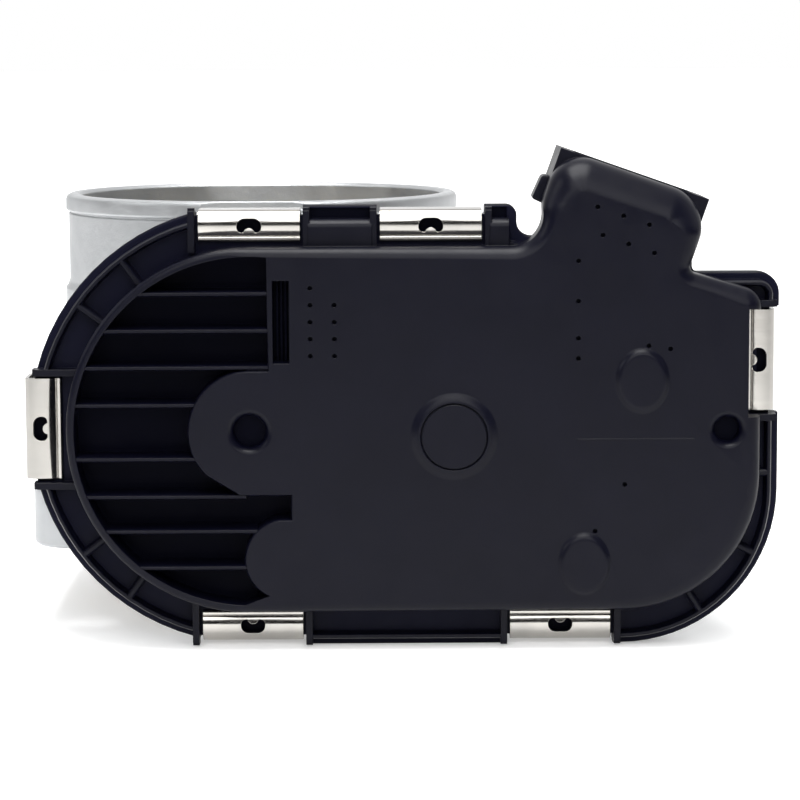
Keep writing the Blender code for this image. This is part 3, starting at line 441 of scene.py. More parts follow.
def front_outline():
    """The raised front and the plug shroud's face as one outline."""
    half = HOOD_NECK_HALF
    return round_ended(
        BOX_R,
        (BOX_RIGHT, -BOX_R, BOX_CORNER_R),
        (BOX_RIGHT, BOX_RIGHT_TOP, 3.2),
        (*SLOPE_START, 1.3),
        (*hood_point(half, -9.5), 3.0),
        (*hood_point(half, -0.05), 6.4),
        (*hood_point(-half, -0.05), 5.8),
        (*hood_point(-half, -9.3), 6.0),
        (48.2, BOX_R, 5.2),
    )


def blend_step(value, low, high):
    share = min(1.0, max(0.0, (value - low) / (high - low)))
    return share * share * (3 - 2 * share)


def front_rounding(point, normal):
    """Radius of the rounded edge of the raised front: thin on the left, large on top of the shroud."""
    radius = THIN_WALL_ROUND + (EDGE_ROUND - THIN_WALL_ROUND) * blend_step(point[0], -5.0, 6.0)
    on_shroud = blend_step(hood_height(point), -13.0, -5.0)
    side = HOOD_RIGHT_ROUND + (HOOD_LEFT_ROUND - HOOD_RIGHT_ROUND) * blend_step(-normal.x, 0.2, 0.9)
    radius += (side - radius) * on_shroud
    facing_out = blend_step(normal.dot(Vector(HOOD_OUT)), 0.0, 0.9)
    return radius + (HOOD_TOP_ROUND - radius) * facing_out * on_shroud


def recess_outline(grow):
    """The finned recess, made larger on every side but the outer arc."""
    pad_r = PAD_R - grow
    lobe_r = LOBE_R - grow
    return (
        arc((0, 0), RECESS_R, 84, 268, 3.0)
        + arc(LOBE_AT, lobe_r, 246, 100, 8.0)
        + [(NOTCH_RIGHT + grow, NOTCH_Z[0] - grow), (NOTCH_RIGHT + grow, NOTCH_Z[1] + grow)]
        + [(NOTCH_LEFT, NOTCH_Z[1] + grow)]
        + arc((0, 0), pad_r, 225, 92, 6.0)
        + [(RECESS_RIGHT + grow, PAD_R - grow)]
    )


def seal_outline(grow):
    """The path of the gasket round the gear chamber."""
    edge, right, top = SEAL_R + grow, SEAL_RIGHT + grow, SEAL_RIGHT_TOP + grow
    near, far = (x + grow for x in SEAL_SADDLE)
    saddle_z = SEAL_SADDLE_Z + grow
    return round_ended(
        edge,
        (right, -edge, SEAL_CORNER_R + grow),
        (right, top, 2.5),
        (far, top, 1.0),
        (far, saddle_z, 1.5),
        (near, saddle_z, 1.0),
        (near, edge, 1.5),
    )


# ---- solids


def placed(name, data):
    """A new object in the scene."""
    made = bpy.data.objects.new(name, data)
    bpy.context.scene.collection.objects.link(made)
    return made


def solid_from(name, points, faces):
    """A closed mesh object from points in millimetres round the shaft."""
    mesh = bpy.data.meshes.new(name)
    mesh.from_pydata([to_world(*point) for point in points], [], faces)
    shape = bmesh.new()
    shape.from_mesh(mesh)
    bmesh.ops.remove_doubles(shape, verts=shape.verts, dist=1e-7)
    bmesh.ops.triangulate(shape, faces=[face for face in shape.faces if len(face.verts) > 4])
    bmesh.ops.recalc_face_normals(shape, faces=shape.faces)
    shape.to_mesh(mesh)
    shape.free()
    return placed(name, mesh)


def ring_faces(near, far, count):
    """Four-sided faces between two rings of points, each given by the index of its first point."""
    return [(near + i, near + (i + 1) % count, far + (i + 1) % count, far + i) for i in range(count)]


def loft(name, sections):
    """A solid skinned over rings of points, closed with a flat cap at both ends."""
    count = len(sections[0])
    points = [point for section in sections for point in section]
    faces = [tuple(range(count))[::-1], tuple(range(len(points) - count, len(points)))]
    for ring in range(len(sections) - 1):
        faces += ring_faces(ring * count, (ring + 1) * count, count)
    return solid_from(name, points, faces)


def ring_from(name, profile, sides=144):
    """A closed ring about the bore from a closed (radius, z) profile."""
    turns = circle((0, 0), 1.0, sides)
    points = [(radius * x, radius * y, z) for x, y in turns for radius, z in profile]
    faces = []
    for step in range(sides):
        faces += ring_faces(step * len(profile), (step + 1) % sides * len(profile), len(profile))
    return solid_from(name, points, faces)


def along_y(outline, y, centre=(0.0, 0.0)):
    return [(x + centre[0], y, z + centre[1]) for x, z in outline]


def slab(name, outline, y0, y1, centre=(0.0, 0.0)):
    """A flat plate across the shaft direction."""
    return loft(name, [along_y(outline, y, centre) for y in (y0, y1)])


def soft_slab(name, outline, y0, y1, near=0.4, far=0.0, steps=4):
    """A plate whose near and far edges are rounded."""
    sections = []
    for edge, radius, way in ((y0, near, 1), (y1, far, -1)):
        angles = [math.pi / 2 * step / steps for step in range(steps + 1)] if radius else [math.pi / 2]
        rings = []
        for turn in angles:
            inset = radius * (1 - math.sin(turn))
            rings.append(along_y(grown(outline, -inset), edge + way * radius * (1 - math.cos(turn))))
        sections += rings[::way]
    return loft(name, sections)


def column(name, outline, z0, z1):
    """An upright prism from (x, y) points."""
    return loft(name, [[(x, y, z) for x, y in outline] for z in (z0, z1)])


def block(name, low, high):
    return slab(name, rectangle((low[0], low[2]), (high[0], high[2])), low[1], high[1])


def turned_y(name, centre, profile, sides=64):
    """A solid of revolution about a line along the shaft, from (radius, y) points."""
    rings = [along_y(circle((0, 0), radius, sides), y, centre) for radius, y in profile]
    return loft(name, rings)


def turned_z(name, profile, centre=(0.0, 0.0), sides=128):
    """A solid of revolution about an upright line, from (radius, z) points."""
    return loft(name, [[(x, y, z) for x, y in circle(centre, radius, sides)] for radius, z in profile])


def rod(name, centre, radius, y0, y1, sides=48):
    return slab(name, circle((0, 0), radius, sides), y0, y1, centre)


def combine(operation, base, tools):
    """Applies one Boolean after another and removes the tools."""
    for tool in tools:
        modifier = base.modifiers.new(operation, "BOOLEAN")
        modifier.operation = operation
        modifier.solver = "MANIFOLD"
        modifier.object = tool
    graph = bpy.context.evaluated_depsgraph_get()
    result = bpy.data.meshes.new_from_object(base.evaluated_get(graph))
    base.modifiers.clear()
    base.data = result
    for tool in tools:
        bpy.data.objects.remove(tool)
    return base


def join(base, *tools):
    return combine("UNION", base, tools)


def cut(base, *tools):
    return combine("DIFFERENCE", base, tools)


def keep(base, *tools):
    return combine("INTERSECT", base, tools)


def turned(made, angle_deg):
    """Turns a mesh about the throttle shaft, clockwise seen from the cover."""
    turn = math.radians(angle_deg)
    for vertex in made.data.vertices:
        offset = vertex.co - SHAFT_AT
        x = offset.x * math.cos(turn) + offset.z * math.sin(turn)
        z = offset.z * math.cos(turn) - offset.x * math.sin(turn)
        vertex.co = SHAFT_AT + Vector((x, offset.y, z))
    return made


def paint_shade_into_hollows(made, hollow_shade_finish, channel_shade_finish):
    """Paints shade into the recess, the sockets, the dimples and the faces just behind the rim's front,
    such as the clip pockets, with one less glossy copy of the plastic, and paints shade over the channel's
    floor with another.
    """
    made.data.materials.append(hollow_shade_finish)
    made.data.materials.append(channel_shade_finish)
    holes = [(*place, radius + 0.2) for place, radius in SOCKETS]
    holes += [(*place, DIMPLE_R + 0.1) for place in dimple_places()]
    for face in made.data.polygons:
        x, y, z = (face.center - SHAFT_AT) / MM
        over_recess = x < NOTCH_RIGHT + 0.2 and math.hypot(x, z) < RECESS_R + 0.3
        over_hole = any(math.hypot(x - hole_x, z - hole_z) < radius for hole_x, hole_z, radius in holes)
        in_pocket = RIM_FRONT + 0.1 < y < RIM_FRONT + 1.5
        # Painted shade: faces in the recess, in the sockets and dimples, and just behind the rim's front
        # get the less glossy copy.
        if in_pocket or (over_recess and y > COVER_FRONT + 1.0) or (over_hole and y > COVER_FRONT + 0.3):
            face.material_index = 1
        # Painted shade: the channel's floor, facing the front at the rim's depth, gets the copy that
        # reflects less.
        elif abs(y - RIM_FRONT) < 0.05 and face.normal.y < -0.9:
            face.material_index = 2


def finished(made, body, material, slot, *nodes):
    """Names and paints a piece, shades it smoothly, and hangs it on its body in place of CAD nodes."""
    made.name = f"{nodes[0]}_detailed"
    made.data.materials.clear()
    made.data.materials.append(material)
    for face in made.data.polygons:
        face.material_index = 0
    clean = bmesh.new()
    clean.from_mesh(made.data)
    bmesh.ops.remove_doubles(clean, verts=clean.verts, dist=2e-6)
    bmesh.ops.dissolve_degenerate(clean, dist=1e-6, edges=clean.edges)
    clean.to_mesh(made.data)
    clean.free()
    made.data.shade_smooth()
    made.data.set_sharp_from_angle(angle=SHARP_EDGE)
    weighted = made.modifiers.new("even_shading", "WEIGHTED_NORMAL")
    weighted.keep_sharp = True
    weighted.weight = 80
    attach(made, body)
    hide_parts(*nodes)
    return made


# ---- cover


def on_side(side, along, out, y):
    """A point beside the rim, given along the side and outwards from its centre line."""
    places = {
        "left": (-out - LEFT_SHIFT, y, along),
        "top": (along, y, out),
        "right": (out + RIGHT_SHIFT, y, along),
        "bottom": (along, y, -out),
    }
    return places[side]


def edge_block(side, at, length, inner, outer, y0, y1):
    """A box on one side of the rim, between two distances from that side's own centre line."""
    corners = [on_side(side, at - length / 2, inner, y0), on_side(side, at + length / 2, outer, y1)]
    low = [min(pair) for pair in zip(*corners)]
    high = [max(pair) for pair in zip(*corners)]
    return block("edge", low, high)


def raised_front():
    """The raised front with its rounded edge, which is larger round the plug shroud."""
    outline = front_outline()
    normals = outward_normals(outline)
    radii = [front_rounding(point, normal) for point, normal in zip(outline, normals)]
    sections = [along_y(outline, RIM_FRONT + 1.0)]
    for turn in (EDGE_SWEEP * step / 7 for step in range(8)):
        across = (1 - math.cos(turn)) / (1 - math.cos(EDGE_SWEEP))
        back = 1 - math.sin(turn) / math.sin(EDGE_SWEEP)
        section = []
        for point, normal, radius in zip(outline, normals, radii):
            place = Vector(point) - normal * radius * across
            section.append((place.x, COVER_FRONT + radius * back, place.y))
        sections.append(section)
    return loft("front", sections)


def edge_rib():
    """The rib that stands round the rim, with a rounded top."""
    outer, inner = RIB_INSET
    middle = (outer + inner) / 2
    crest = (inner - outer) / 2 * RIB_CREST
    shoulder = RIB_FRONT + RIB_ROUND
    outside = [(outer - RIB_DRAFT, RIM_FRONT + 0.5), (outer, shoulder), (middle - crest, RIB_FRONT)]
    inside = [(inner + RIB_DRAFT, RIM_FRONT + 1.0), (inner, shoulder), (middle + crest, RIB_FRONT)]
    inside.append((middle + crest, RIB_FRONT - 1.0))
    return cut(rim_loft(outside), rim_loft(inside))


def rim_loft(steps):
    """A solid that follows the rim, from (inset, y) steps."""
    return loft("rim", [along_y(rim_outline(inset), y) for inset, y in steps])


def spoke(centre, start, end, angle_deg):
    """A straight rib across the channel, tapering to its rounded top."""
    turn = math.radians(angle_deg)
    side = Vector((-math.sin(turn), math.cos(turn)))
    near = Vector(on_circle(centre, start, turn))
    far = Vector(on_circle(centre, end, turn))
    sections = []
    for half, y in zip(SPOKE_HALF, (RIM_FRONT + 0.5, RIB_FRONT + 0.35, RIB_FRONT)):
        corners = [near - side * half, far - side * half, far + side * half, near + side * half]
        sections.append(along_y(corners, y))
    return loft("spoke", sections)


def spokes():
    corner = (RIM_RIGHT - RIM_CORNER_R, RIM_CORNER_R - RIM_R)
    left = [spoke((0, 0), BOX_R - 0.5, RIM_R - 1.8, angle) for angle in LEFT_RIBS_DEG]
    right = [spoke(corner, 20.0, RIM_CORNER_R - 1.8, angle) for angle in RIGHT_RIBS_DEG]
    right.append(spoke((corner[0], RIGHT_RIB_Z), 20.0, RIM_CORNER_R - 1.8, 0.0))
    return left + right


def clip_seats():
    """Cutters that clear the channel and the rim where each clip sits."""
    seats = []
    for side, at in CLIPS:
        front = COVER_FRONT if side == "right" else RIB_FRONT
        inner = LIP_AT[side] - GAP
        seats.append(edge_block(side, at, NOTCH_LENGTH, inner, RIM_R + 3, front - 1, RIM_FRONT))
    return seats + rim_notches(RIB_FRONT - 1, COVER_BACK + 1)


def rim_notches(y0, y1):
    """Cutters that set the edge back under each clip."""
    inner = CLIP_OUT - CLIP_STEEL - GAP
    return [edge_block(side, at, NOTCH_LENGTH, inner, RIM_R + 3, y0, y1) for side, at in CLIPS]


def cheek(side, middle):
    """A small wall beside a clip, with its outer front corner rounded off."""
    inner, outer = CHEEK_REACH[side]
    front, thick = RIB_FRONT, CHEEK_THICK
    wall = edge_block(side, middle, thick, inner, outer, front - 0.1, RIM_FRONT + 0.5)
    corner = edge_block(side, middle, thick + 1, outer - 0.5, outer + 1, front - 1, front + 0.35)
    return cut(wall, corner)


def cheeks():
    """The walls at both ends of each clip."""
    apart = (NOTCH_LENGTH + CHEEK_THICK) / 2
    return [cheek(side, at + end * apart) for side, at in CLIPS for end in (-1, 1)]


def top_bars(shell):
    """Between the top clips and before the saddle, a raised bar replaces the rib."""
    foot, top = BAR_REACH
    front = RIB_FRONT - 0.3
    edge = arc((0, 0), BAR_ROUND, -90, 0, 15.0)
    round_edge = [(top - BAR_ROUND + z, front + BAR_ROUND + y) for z, y in edge]
    outline = [(foot, RIM_FRONT + 1), (foot, front), *round_edge, (top, RIM_FRONT + 1)]
    for start, end in TOP_BARS:
        middle, length = (start + end) / 2, end - start
        cut(shell, edge_block("top", middle, length, 33.0, RIM_R - 0.5, RIB_FRONT - 1, RIM_FRONT + 0.6))
        join(shell, loft("bar", [[(x, y, z) for z, y in outline] for x in (start - 0.3, end + 0.3)]))
    return cut(shell, slab("saddle_floor", rectangle(*SADDLE_FLOOR), RIB_FRONT - 1, RIM_FRONT))


def clip_pockets(shell):
    """The pocket behind the window of each clip."""
    depths = (RIM_FRONT - 1, RIM_FRONT + 1.4)
    return cut(shell, *[edge_block(side, at, POCKET_WIDTH, *POCKET_REACH, *depths) for side, at in CLIPS])


def finned_recess(shell):
    """Sinks the recess into the left of the cover and stands the fins in it."""
    join(shell, slab("recess_wall", recess_outline(1.4), COVER_INSIDE - 0.4, RECESS_INSIDE))
    join(shell, block("slot_wall", (RECESS_RIGHT, COVER_INSIDE - 0.4, 9.5), (8.0, RECESS_INSIDE, 26.2)))
    mouth = [
        (0.0, RECESS_FLOOR),
        (0.0, COVER_FRONT + 0.6),
        (0.15, COVER_FRONT + 0.15),
        (0.5, COVER_FRONT - 0.2),
        (0.5, COVER_FRONT - 1.0),
    ]
    cut(shell, loft("recess_cut", [along_y(recess_outline(grow), y) for grow, y in mouth]))
    for z, right in FINS:
        left = -math.sqrt((RECESS_R + 0.5) ** 2 - z**2)
        join(shell, fin(left, right, z))
    return shell


def fin(left, right, z):
    """One thin wall of the recess, rounded along its front edge."""
    half = FIN_THICK / 2
    root = (z - half - 0.12, RECESS_FLOOR + 0.4)
    profile = [root, (z - half, COVER_FRONT + 0.55), (z - half * 0.5, COVER_FRONT + 0.2)]
    other = [(2 * z - height, y) for height, y in reversed(profile)]
    outline = profile + other
    return loft("fin", [[(x, y, height) for height, y in outline] for x in (left, right)])


def keyed_slot(shell):
    """The narrow upright slot beside the recess, with ridges inside."""
    low, high = SLOT
    cut(shell, slab("slot", rectangle(low, high), COVER_FRONT - 2, SLOT_FLOOR))
    ridges = []
    for x in (low[0] + (high[0] - low[0]) * share for share in (0.25, 0.5, 0.75)):
        outline = rectangle((x - RIDGE_HALF, low[1] - 0.3), (x + RIDGE_HALF, high[1] + 0.3))
        ridges.append(slab("ridge", outline, RIDGE_FRONT, SLOT_FLOOR + 0.3))
    return join(shell, *ridges)


def sockets(shell):
    """Blind round sockets with a rounded mouth."""
    for place, radius in SOCKETS:
        join(shell, rod("socket_wall", place, radius + 1.6, COVER_INSIDE - 0.4, SOCKET_FLOOR + 1.2))
        mouth = [(radius + wider, COVER_FRONT + deep) for wider, deep in SOCKET_MOUTH]
        cut(shell, turned_y("socket", place, [*mouth, (radius, SOCKET_FLOOR)], 48))
    return shell


def bosses(shell):
    """Low round and oval pads, the largest with a second step."""
    for place, half_x, half_z in BOSSES:
        sections = []
        for share, y in BOSS_PROFILE:
            outline = [(x * half_x * share, z * half_z * share) for x, z in circle((0, 0), 1.0, 72)]
            sections.append(along_y(outline, COVER_FRONT + y, place))
        join(shell, loft("boss", sections))
    cutters = []
    for profile in (INNER_BOSS_GROOVE, INNER_BOSS_CORE):
        steps = [(INNER_BOSS_R + wider, COVER_FRONT + y) for wider, y in profile]
        cutters.append(turned_y("step", BOSSES[0][0], steps, 72))
    return cut(shell, cut(*cutters))


def dimple_places():
    """Small ejector marks: two rows by the slot, one by the shroud, two on the shroud and a few alone."""
    start, pitch = DIMPLE_ROW
    places = [(x, start + pitch * row) for x, count in ((10.0, 5), (13.9, 4)) for row in range(count)]
    places += [(53.3, z) for z in (11.8, 15.1, 21.1, 27.6)]
    places += [hood_point(u, -6.9) for u in (-4.5, -0.1, 4.3)]
    places += [hood_point(u, -10.9) for u in (-2.2, 2.2, 6.6)]
    return places + [(64.7, 13.8), (68.2, 13.3), (60.9, -8.8), (56.1, -16.5)]


def dimples(shell):
    depths = (COVER_FRONT - 1, COVER_FRONT + 0.9)
    return cut(shell, *[rod("dimple", place, DIMPLE_R, *depths, 16) for place in dimple_places()])


def latch_nose():
    """The outline of the small nose that the plug's latch snaps over."""
    corners = ((-14.5, -9.4, 0.5), (-11.5, -9.7, 0.2), (-11.5, -5.0, 0.2), (-14.1, -5.0, 0.9))
    return rounded([(*hood_point(u, v), radius) for u, v, radius in corners], 20.0)


def shroud():
    """The plug shroud behind the front face: collar, neck and latch nose."""
    neck = HOOD_NECK_HALF
    right = [(neck - 2.0, -15), (neck - 0.4, -9.5), (neck - 0.4, -HOOD_COLLAR)]
    left = [(1.0 - neck, -HOOD_COLLAR), (1.0 - neck, -9.3), (3.2 - neck, -11.5), (3.2 - neck, -15)]
    foot = [hood_point(u, v) for u, v in right + left]
    collar = hood_box((-HOOD_HALF, -6.0), (HOOD_HALF, 0.0))
    made = soft_slab("collar", collar, HOOD_FRONT + 1.5, HOOD_BACK, 0.0, 0.4)
    join(made, soft_slab("neck", foot, HOOD_FRONT, HOOD_BACK + 0.8, 0.0, 0.4))
    cut(made, block("case_room", (30, COVER_BACK, -10), (95, HOOD_BACK + 5, HOOD_FLOOR_Z)))
    return join(made, soft_slab("nose", latch_nose(), *NOSE_Y, 0.3, 0.3))


def pin_hole(u, y):
    """A square cutter along the shroud's own direction, with room round its pin."""
    half = PIN_HALF + GAP
    outline = hood_box((u - half, -SOCKET_DEPTH - PIN_FOOT - GAP), (u + half, 0.0))
    return slab("pin_hole", outline, y - half, y + half)


def plug_socket(shell):
    """Hollows the shroud for the plug, with two guide ribs and a hole for each pin."""
    cut(shell, slab("socket", hood_box((-SOCKET_HALF, -SOCKET_DEPTH), (SOCKET_HALF, 4)), *SOCKET_Y))
    ribs = []
    for u in GUIDES_U:
        outline = hood_box((u - GUIDE_HALF, -SOCKET_DEPTH - 0.5), (u + GUIDE_HALF, -0.8))
        ribs.append(slab("guide", outline, SOCKET_Y[1] - 0.9, SOCKET_Y[1] + 0.5))
    join(shell, *ribs)
    return cut(shell, *[pin_hole(u, y) for u in PIN_COLUMNS_U for y in PIN_ROWS_Y])


def cover():
    """Black plastic cover with the plug shroud moulded on."""
    shell = soft_slab("cover", rim_outline(0.0), RIM_FRONT, COVER_BACK, 0.35, 0.0)
    join(shell, edge_rib())
    top_bars(shell)
    clip_pockets(shell)
    join(shell, *spokes())
    join(shell, raised_front())
    cut(shell, *clip_seats())
    join(shell, *cheeks())
    join(shell, shroud())
    cut(shell, slab("hollow", box_outline(BOX_WALL), COVER_INSIDE, COVER_BACK + 3))
    finned_recess(shell)
    keyed_slot(shell)
    sockets(shell)
    bosses(shell)
    dimples(shell)
    join(shell, slab("witness_line", rectangle(*WITNESS_LINE), COVER_FRONT - 0.06, COVER_FRONT + 0.4))
    return plug_socket(shell)


# ---- clips


def strip_outline(path, thick):
    """The closed outline of a bent strip whose outer face follows a path of (out, y) points."""
    inner = []
    for index, point in enumerate(path):
        before = Vector(path[max(index - 1, 0)])
        after = Vector(path[min(index + 1, len(path) - 1)])
        along = (after - before).normalized()
        inner.append(tuple(Vector(point) + Vector((-along.y, along.x)) * thick))
    return path + inner[::-1]


def clip_path(lip_at):
    """The outer face of a clip, from the curled lip of its bulging front leg round to its back leg."""
    lip = [(lip_at + out, CLIP_FRONT + y) for out, y in CLIP_LIP]
    start = math.radians(CLIP_BEND_DEG)
    bend_out = CLIP_OUT - CLIP_BEND_R
    bulge_out = bend_out + (CLIP_BEND_R - CLIP_BULGE_R) * math.cos(start)
    bulge_y = CLIP_FRONT + CLIP_BULGE_R
    bend_y = bulge_y + (CLIP_BULGE_R - CLIP_BEND_R) * math.sin(start)
    bulge_start = -90.0 - math.degrees(math.asin((bulge_out - lip_at - 1.1) / CLIP_BULGE_R))
    bulge = arc((bulge_out, bulge_y), CLIP_BULGE_R, bulge_start, CLIP_BEND_DEG, 5.0)
    near_bend = arc((bend_out, bend_y), CLIP_BEND_R, CLIP_BEND_DEG, 0, 11.25)
    back = LIP_BACK + GAP + CLIP_STEEL
    far_bend = arc((CLIP_OUT - CLIP_BACK_R, back - CLIP_BACK_R), CLIP_BACK_R, 0, 90, 15.0)
    return lip + bulge[:-1] + near_bend + far_bend + [(CLIP_OUT - 1.8, back)]


def keyhole(side, at):
    """The hole in a clip's front leg: a rounded window with a half-round tongue left standing in it."""
    window = rounded([(-2.0, 32.0, 0.8), (2.0, 32.0, 0.8), (2.0, 34.3, 1.3), (-2.0, 34.3, 1.3)], 15.0)
    tongue = arc((0.0, 31.8), 0.95, -5, 185, 12.0)
    hole = prism_on_side(side, at, window, CLIP_FRONT - 1, CLIP_FRONT + 2)
    return cut(hole, prism_on_side(side, at, tongue, CLIP_FRONT - 2, CLIP_FRONT + 3))


def prism_on_side(side, at, outline, y0, y1):
    sections = [[on_side(side, at + along, out, y) for along, out in outline] for y in (y0, y1)]
    return loft("prism", sections)


def clip(side, at):
    """A folded steel strip that grips the cover and the case lip."""
    outline = strip_outline(clip_path(LIP_AT[side]), CLIP_STEEL)
    low, high = at - CLIP_LENGTH / 2, at + CLIP_LENGTH / 2
    places = (low, low + 0.15, high - 0.15, high)
    sections = [[on_side(side, along, out, y) for out, y in outline] for along in places]
    return cut(loft("clip", sections), keyhole(side, at))


# ---- cast body


def barrel():
    """The outside of the air bore: wide lower part, hose neck, bead, and a fillet down to the flange."""
    fillet = [
        (BARREL_R + 2.5 * (1 - math.cos(turn)), FLANGE_TOP + 2.4 * (1 - math.sin(turn)))
        for turn in reversed(QUARTER_TURN)
    ]
    bead_z = NECK_TOP - BEAD_HEIGHT
    profile = [
        (BARREL_R + 2.5, FLANGE_BOTTOM + 2),
        *fillet,
        (BARREL_R, BARREL_TOP - 0.5),
        (BARREL_R - 0.3, BARREL_TOP - 0.1),
        (NECK_R + 0.2, BARREL_TOP + 0.4),
        (NECK_R, BARREL_TOP + 1.0),
        (NECK_R, bead_z - 0.5),
        (NECK_R - 0.25, bead_z - 0.4),
        (NECK_R - 0.25, bead_z - 0.05),
        (BEAD_R - 0.25, bead_z),
        (BEAD_R, bead_z + 0.25),
        (BEAD_R, NECK_TOP - 0.9),
        (BEAD_R - 0.25, NECK_TOP - 0.3),
        (BEAD_R - 0.8, NECK_TOP),
    ]
    return turned_z("barrel", profile)


def flange():
    """The square manifold flange with rounded edges."""
    low, high = (-FLANGE_HALF, -FLANGE_HALF), (FLANGE_HALF, FLANGE_HALF)
    outline = rounded([(x, y, FLANGE_CORNER_R) for x, y in rectangle(low, high)], 6.0)
    steps = [
        (0.4, FLANGE_BOTTOM),
        (0.0, FLANGE_BOTTOM + 0.4),
        (0.0, FLANGE_TOP - 1.0),
        (0.3, FLANGE_TOP - 0.3),
        (1.0, FLANGE_TOP),
    ]
    return loft("flange", [[(x, y, z) for x, y in grown(outline, -inset)] for inset, z in steps])


def flange_corners():
    return [(x, y) for x in (-FLANGE_HOLE_AT, FLANGE_HOLE_AT) for y in (-FLANGE_HOLE_AT, FLANGE_HOLE_AT)]


def flange_hole(place):
    """A bolt hole with a chamfer at both faces."""
    wide = FLANGE_HOLE_R + 0.5
    ends = [(wide, FLANGE_BOTTOM - 1), (wide, FLANGE_BOTTOM), (FLANGE_HOLE_R, FLANGE_BOTTOM + 0.5)]
    tops = [(FLANGE_HOLE_R, FLANGE_TOP - 0.5), (wide, FLANGE_TOP), (wide, FLANGE_TOP + 4)]
    return turned_z("hole", ends + tops, place, 48)


def crowned(radius, end, edge_r):
    """The end of a profile whose rim is rounded by edge_r."""
    quarter = [(1 - math.cos(turn), 1 - math.sin(turn)) for turn in QUARTER_TURN]
    return [(radius - edge_r * across, end - edge_r * back) for across, back in quarter]


def motor_bay():
    """The round bay behind the gear case, closed by a crowned end."""
    crown = crowned(MOTOR_BAY_R, MOTOR_BAY_BACK, 2.4)
    return turned_y("motor_bay", MOTOR_AT, [(MOTOR_BAY_R, CASE_BACK - 1), *crown], 96)


def webs():
    """Walls that tie the motor bay to the barrel."""
    return [block("web", (27, -20, low), (46, 10, high)) for low, high in WEBS]


def chamber():
    """The hollow for the gears."""
    return slab("chamber", seal_outline(-CHAMBER_INSET), CASE_FRONT - 1, CASE_FLOOR)


def gasket_groove():
    half = SEAL_HALF + GAP
    groove = slab("groove", seal_outline(half), CASE_FRONT - 1, CASE_FRONT + SEAL_DEPTH)
    return cut(groove, slab("island", seal_outline(-half), CASE_FRONT - 2, CASE_FRONT + 3))


def seal_groove():
    inner, outer = SEAL_GROOVE_R
    low, high = FLANGE_BOTTOM - 1, FLANGE_BOTTOM + SEAL_GROOVE_DEPTH
    groove = turned_z("seal_groove", [(outer, low), (outer, high)])
    return cut(groove, turned_z("island", [(inner, low - 1), (inner, high + 1)]))


def spring_groove():
    """The groove round the near boss that the return spring sits in."""
    inner, outer = SPRING_GROOVE_R
    y0, y1 = SPRING_GROOVE_Y
    groove = rod("groove", (0, 0), outer, y0, y1, 64)
    return cut(groove, rod("island", (0, 0), inner, y0 - 1, y1 + 1, 64))


def far_boss():
    """The boss of the far bearing, with a rounded rim."""
    edge = crowned(FAR_BOSS_R, FAR_BOSS_Y, 0.7)
    return turned_y("far_boss", (0, 0), [(FAR_BOSS_R + 0.6, 30), (FAR_BOSS_R, 40), *edge])


def bore():
    """The air bore, opened out a little at both ends."""
    low, high = FLANGE_BOTTOM, NECK_TOP
    bottom = [(BORE_R + 0.4, low - 1), (BORE_R + 0.4, low), (BORE_R, low + 0.4)]
    top = [(BORE_R, high - 0.5), (BORE_R + 0.5, high), (BORE_R + 0.5, high + 1)]
    return turned_z("bore", bottom + top)


def round_seats():
    """Cutters for the bearings, the shaft, the motor and the intermediate gear's pin."""
    return [
        rod("near_seat", (0, 0), BEARING_R + GAP, -40.5, NEAR_BEARING_Y + BEARING_WIDTH + GAP),
        rod("far_seat", (0, 0), BEARING_R + GAP, FAR_BEARING_Y - GAP, FAR_BOSS_Y + 1),
        rod("shaft_bore", (0, 0), SHAFT_R + GAP, -41, FAR_BOSS_Y + 1),
        rod("motor_bore", MOTOR_AT, MOTOR_R + 0.5, CASE_FRONT, MOTOR_BACK + 1.0, 96),
        rod("idler_seat", IDLER_AT, IDLER_PIN_R + GAP, -40, -35.2),
    ]


def inner_bosses():
    """The bosses of the near bearing and of the intermediate gear's pin."""
    return [
        rod("near_boss", (0, 0), NEAR_BOSS_R, -39.3, -33.5),
        rod("idler_boss", IDLER_AT, IDLER_BOSS_R, -39.0, CASE_BACK + 0.5),
    ]


def open_stop():
    """The post that stops the toothed segment when the plate is wide open."""
    place = on_circle((0, 0), OPEN_STOP_AT, math.radians(OPEN_STOP_DEG))
    return rod("open_stop", place, OPEN_STOP_R, -43.0, CASE_FLOOR + 0.5, 24)


def housing():
    """Cast aluminium body: bore, flange, gear case, shaft bosses and motor bay."""
    body = barrel()
    join(
        body,
        flange(),
        slab("case", case_outline(CASE_INSET), LIP_BACK - 1, CASE_BACK - 0.8),
        slab("case_back", case_outline(CASE_INSET + 0.8), LIP_BACK, CASE_BACK),
        soft_slab("lip", rim_outline(0.2, CASE_SADDLE_Z), CASE_FRONT, LIP_BACK, 0.25, 0.25),
        motor_bay(),
        far_boss(),
        *webs(),
    )
    cut(body, chamber())
    join(body, *inner_bosses())
    join(body, open_stop())
    return cut(
        body,
        bore(),
        *round_seats(),
        gasket_groove(),
        seal_groove(),
        *[flange_hole(place) for place in flange_corners()],
        *rim_notches(CASE_FRONT - 1, CASE_BACK + 1),
        spring_groove(),
    )


def case_outline(inset):
    """The edge of the gear case behind its lip."""
    return rim_outline(inset, CASE_SADDLE_Z + CASE_INSET)


# ---- throttle and small parts


def tilted_slab(name, half_x, half_y, half_z, angle_deg):
    """A box on the shaft axis, turned about it."""
    made = block(name, (-half_x, -half_y, -half_z), (half_x, half_y, half_z))
    return turned(made, angle_deg)


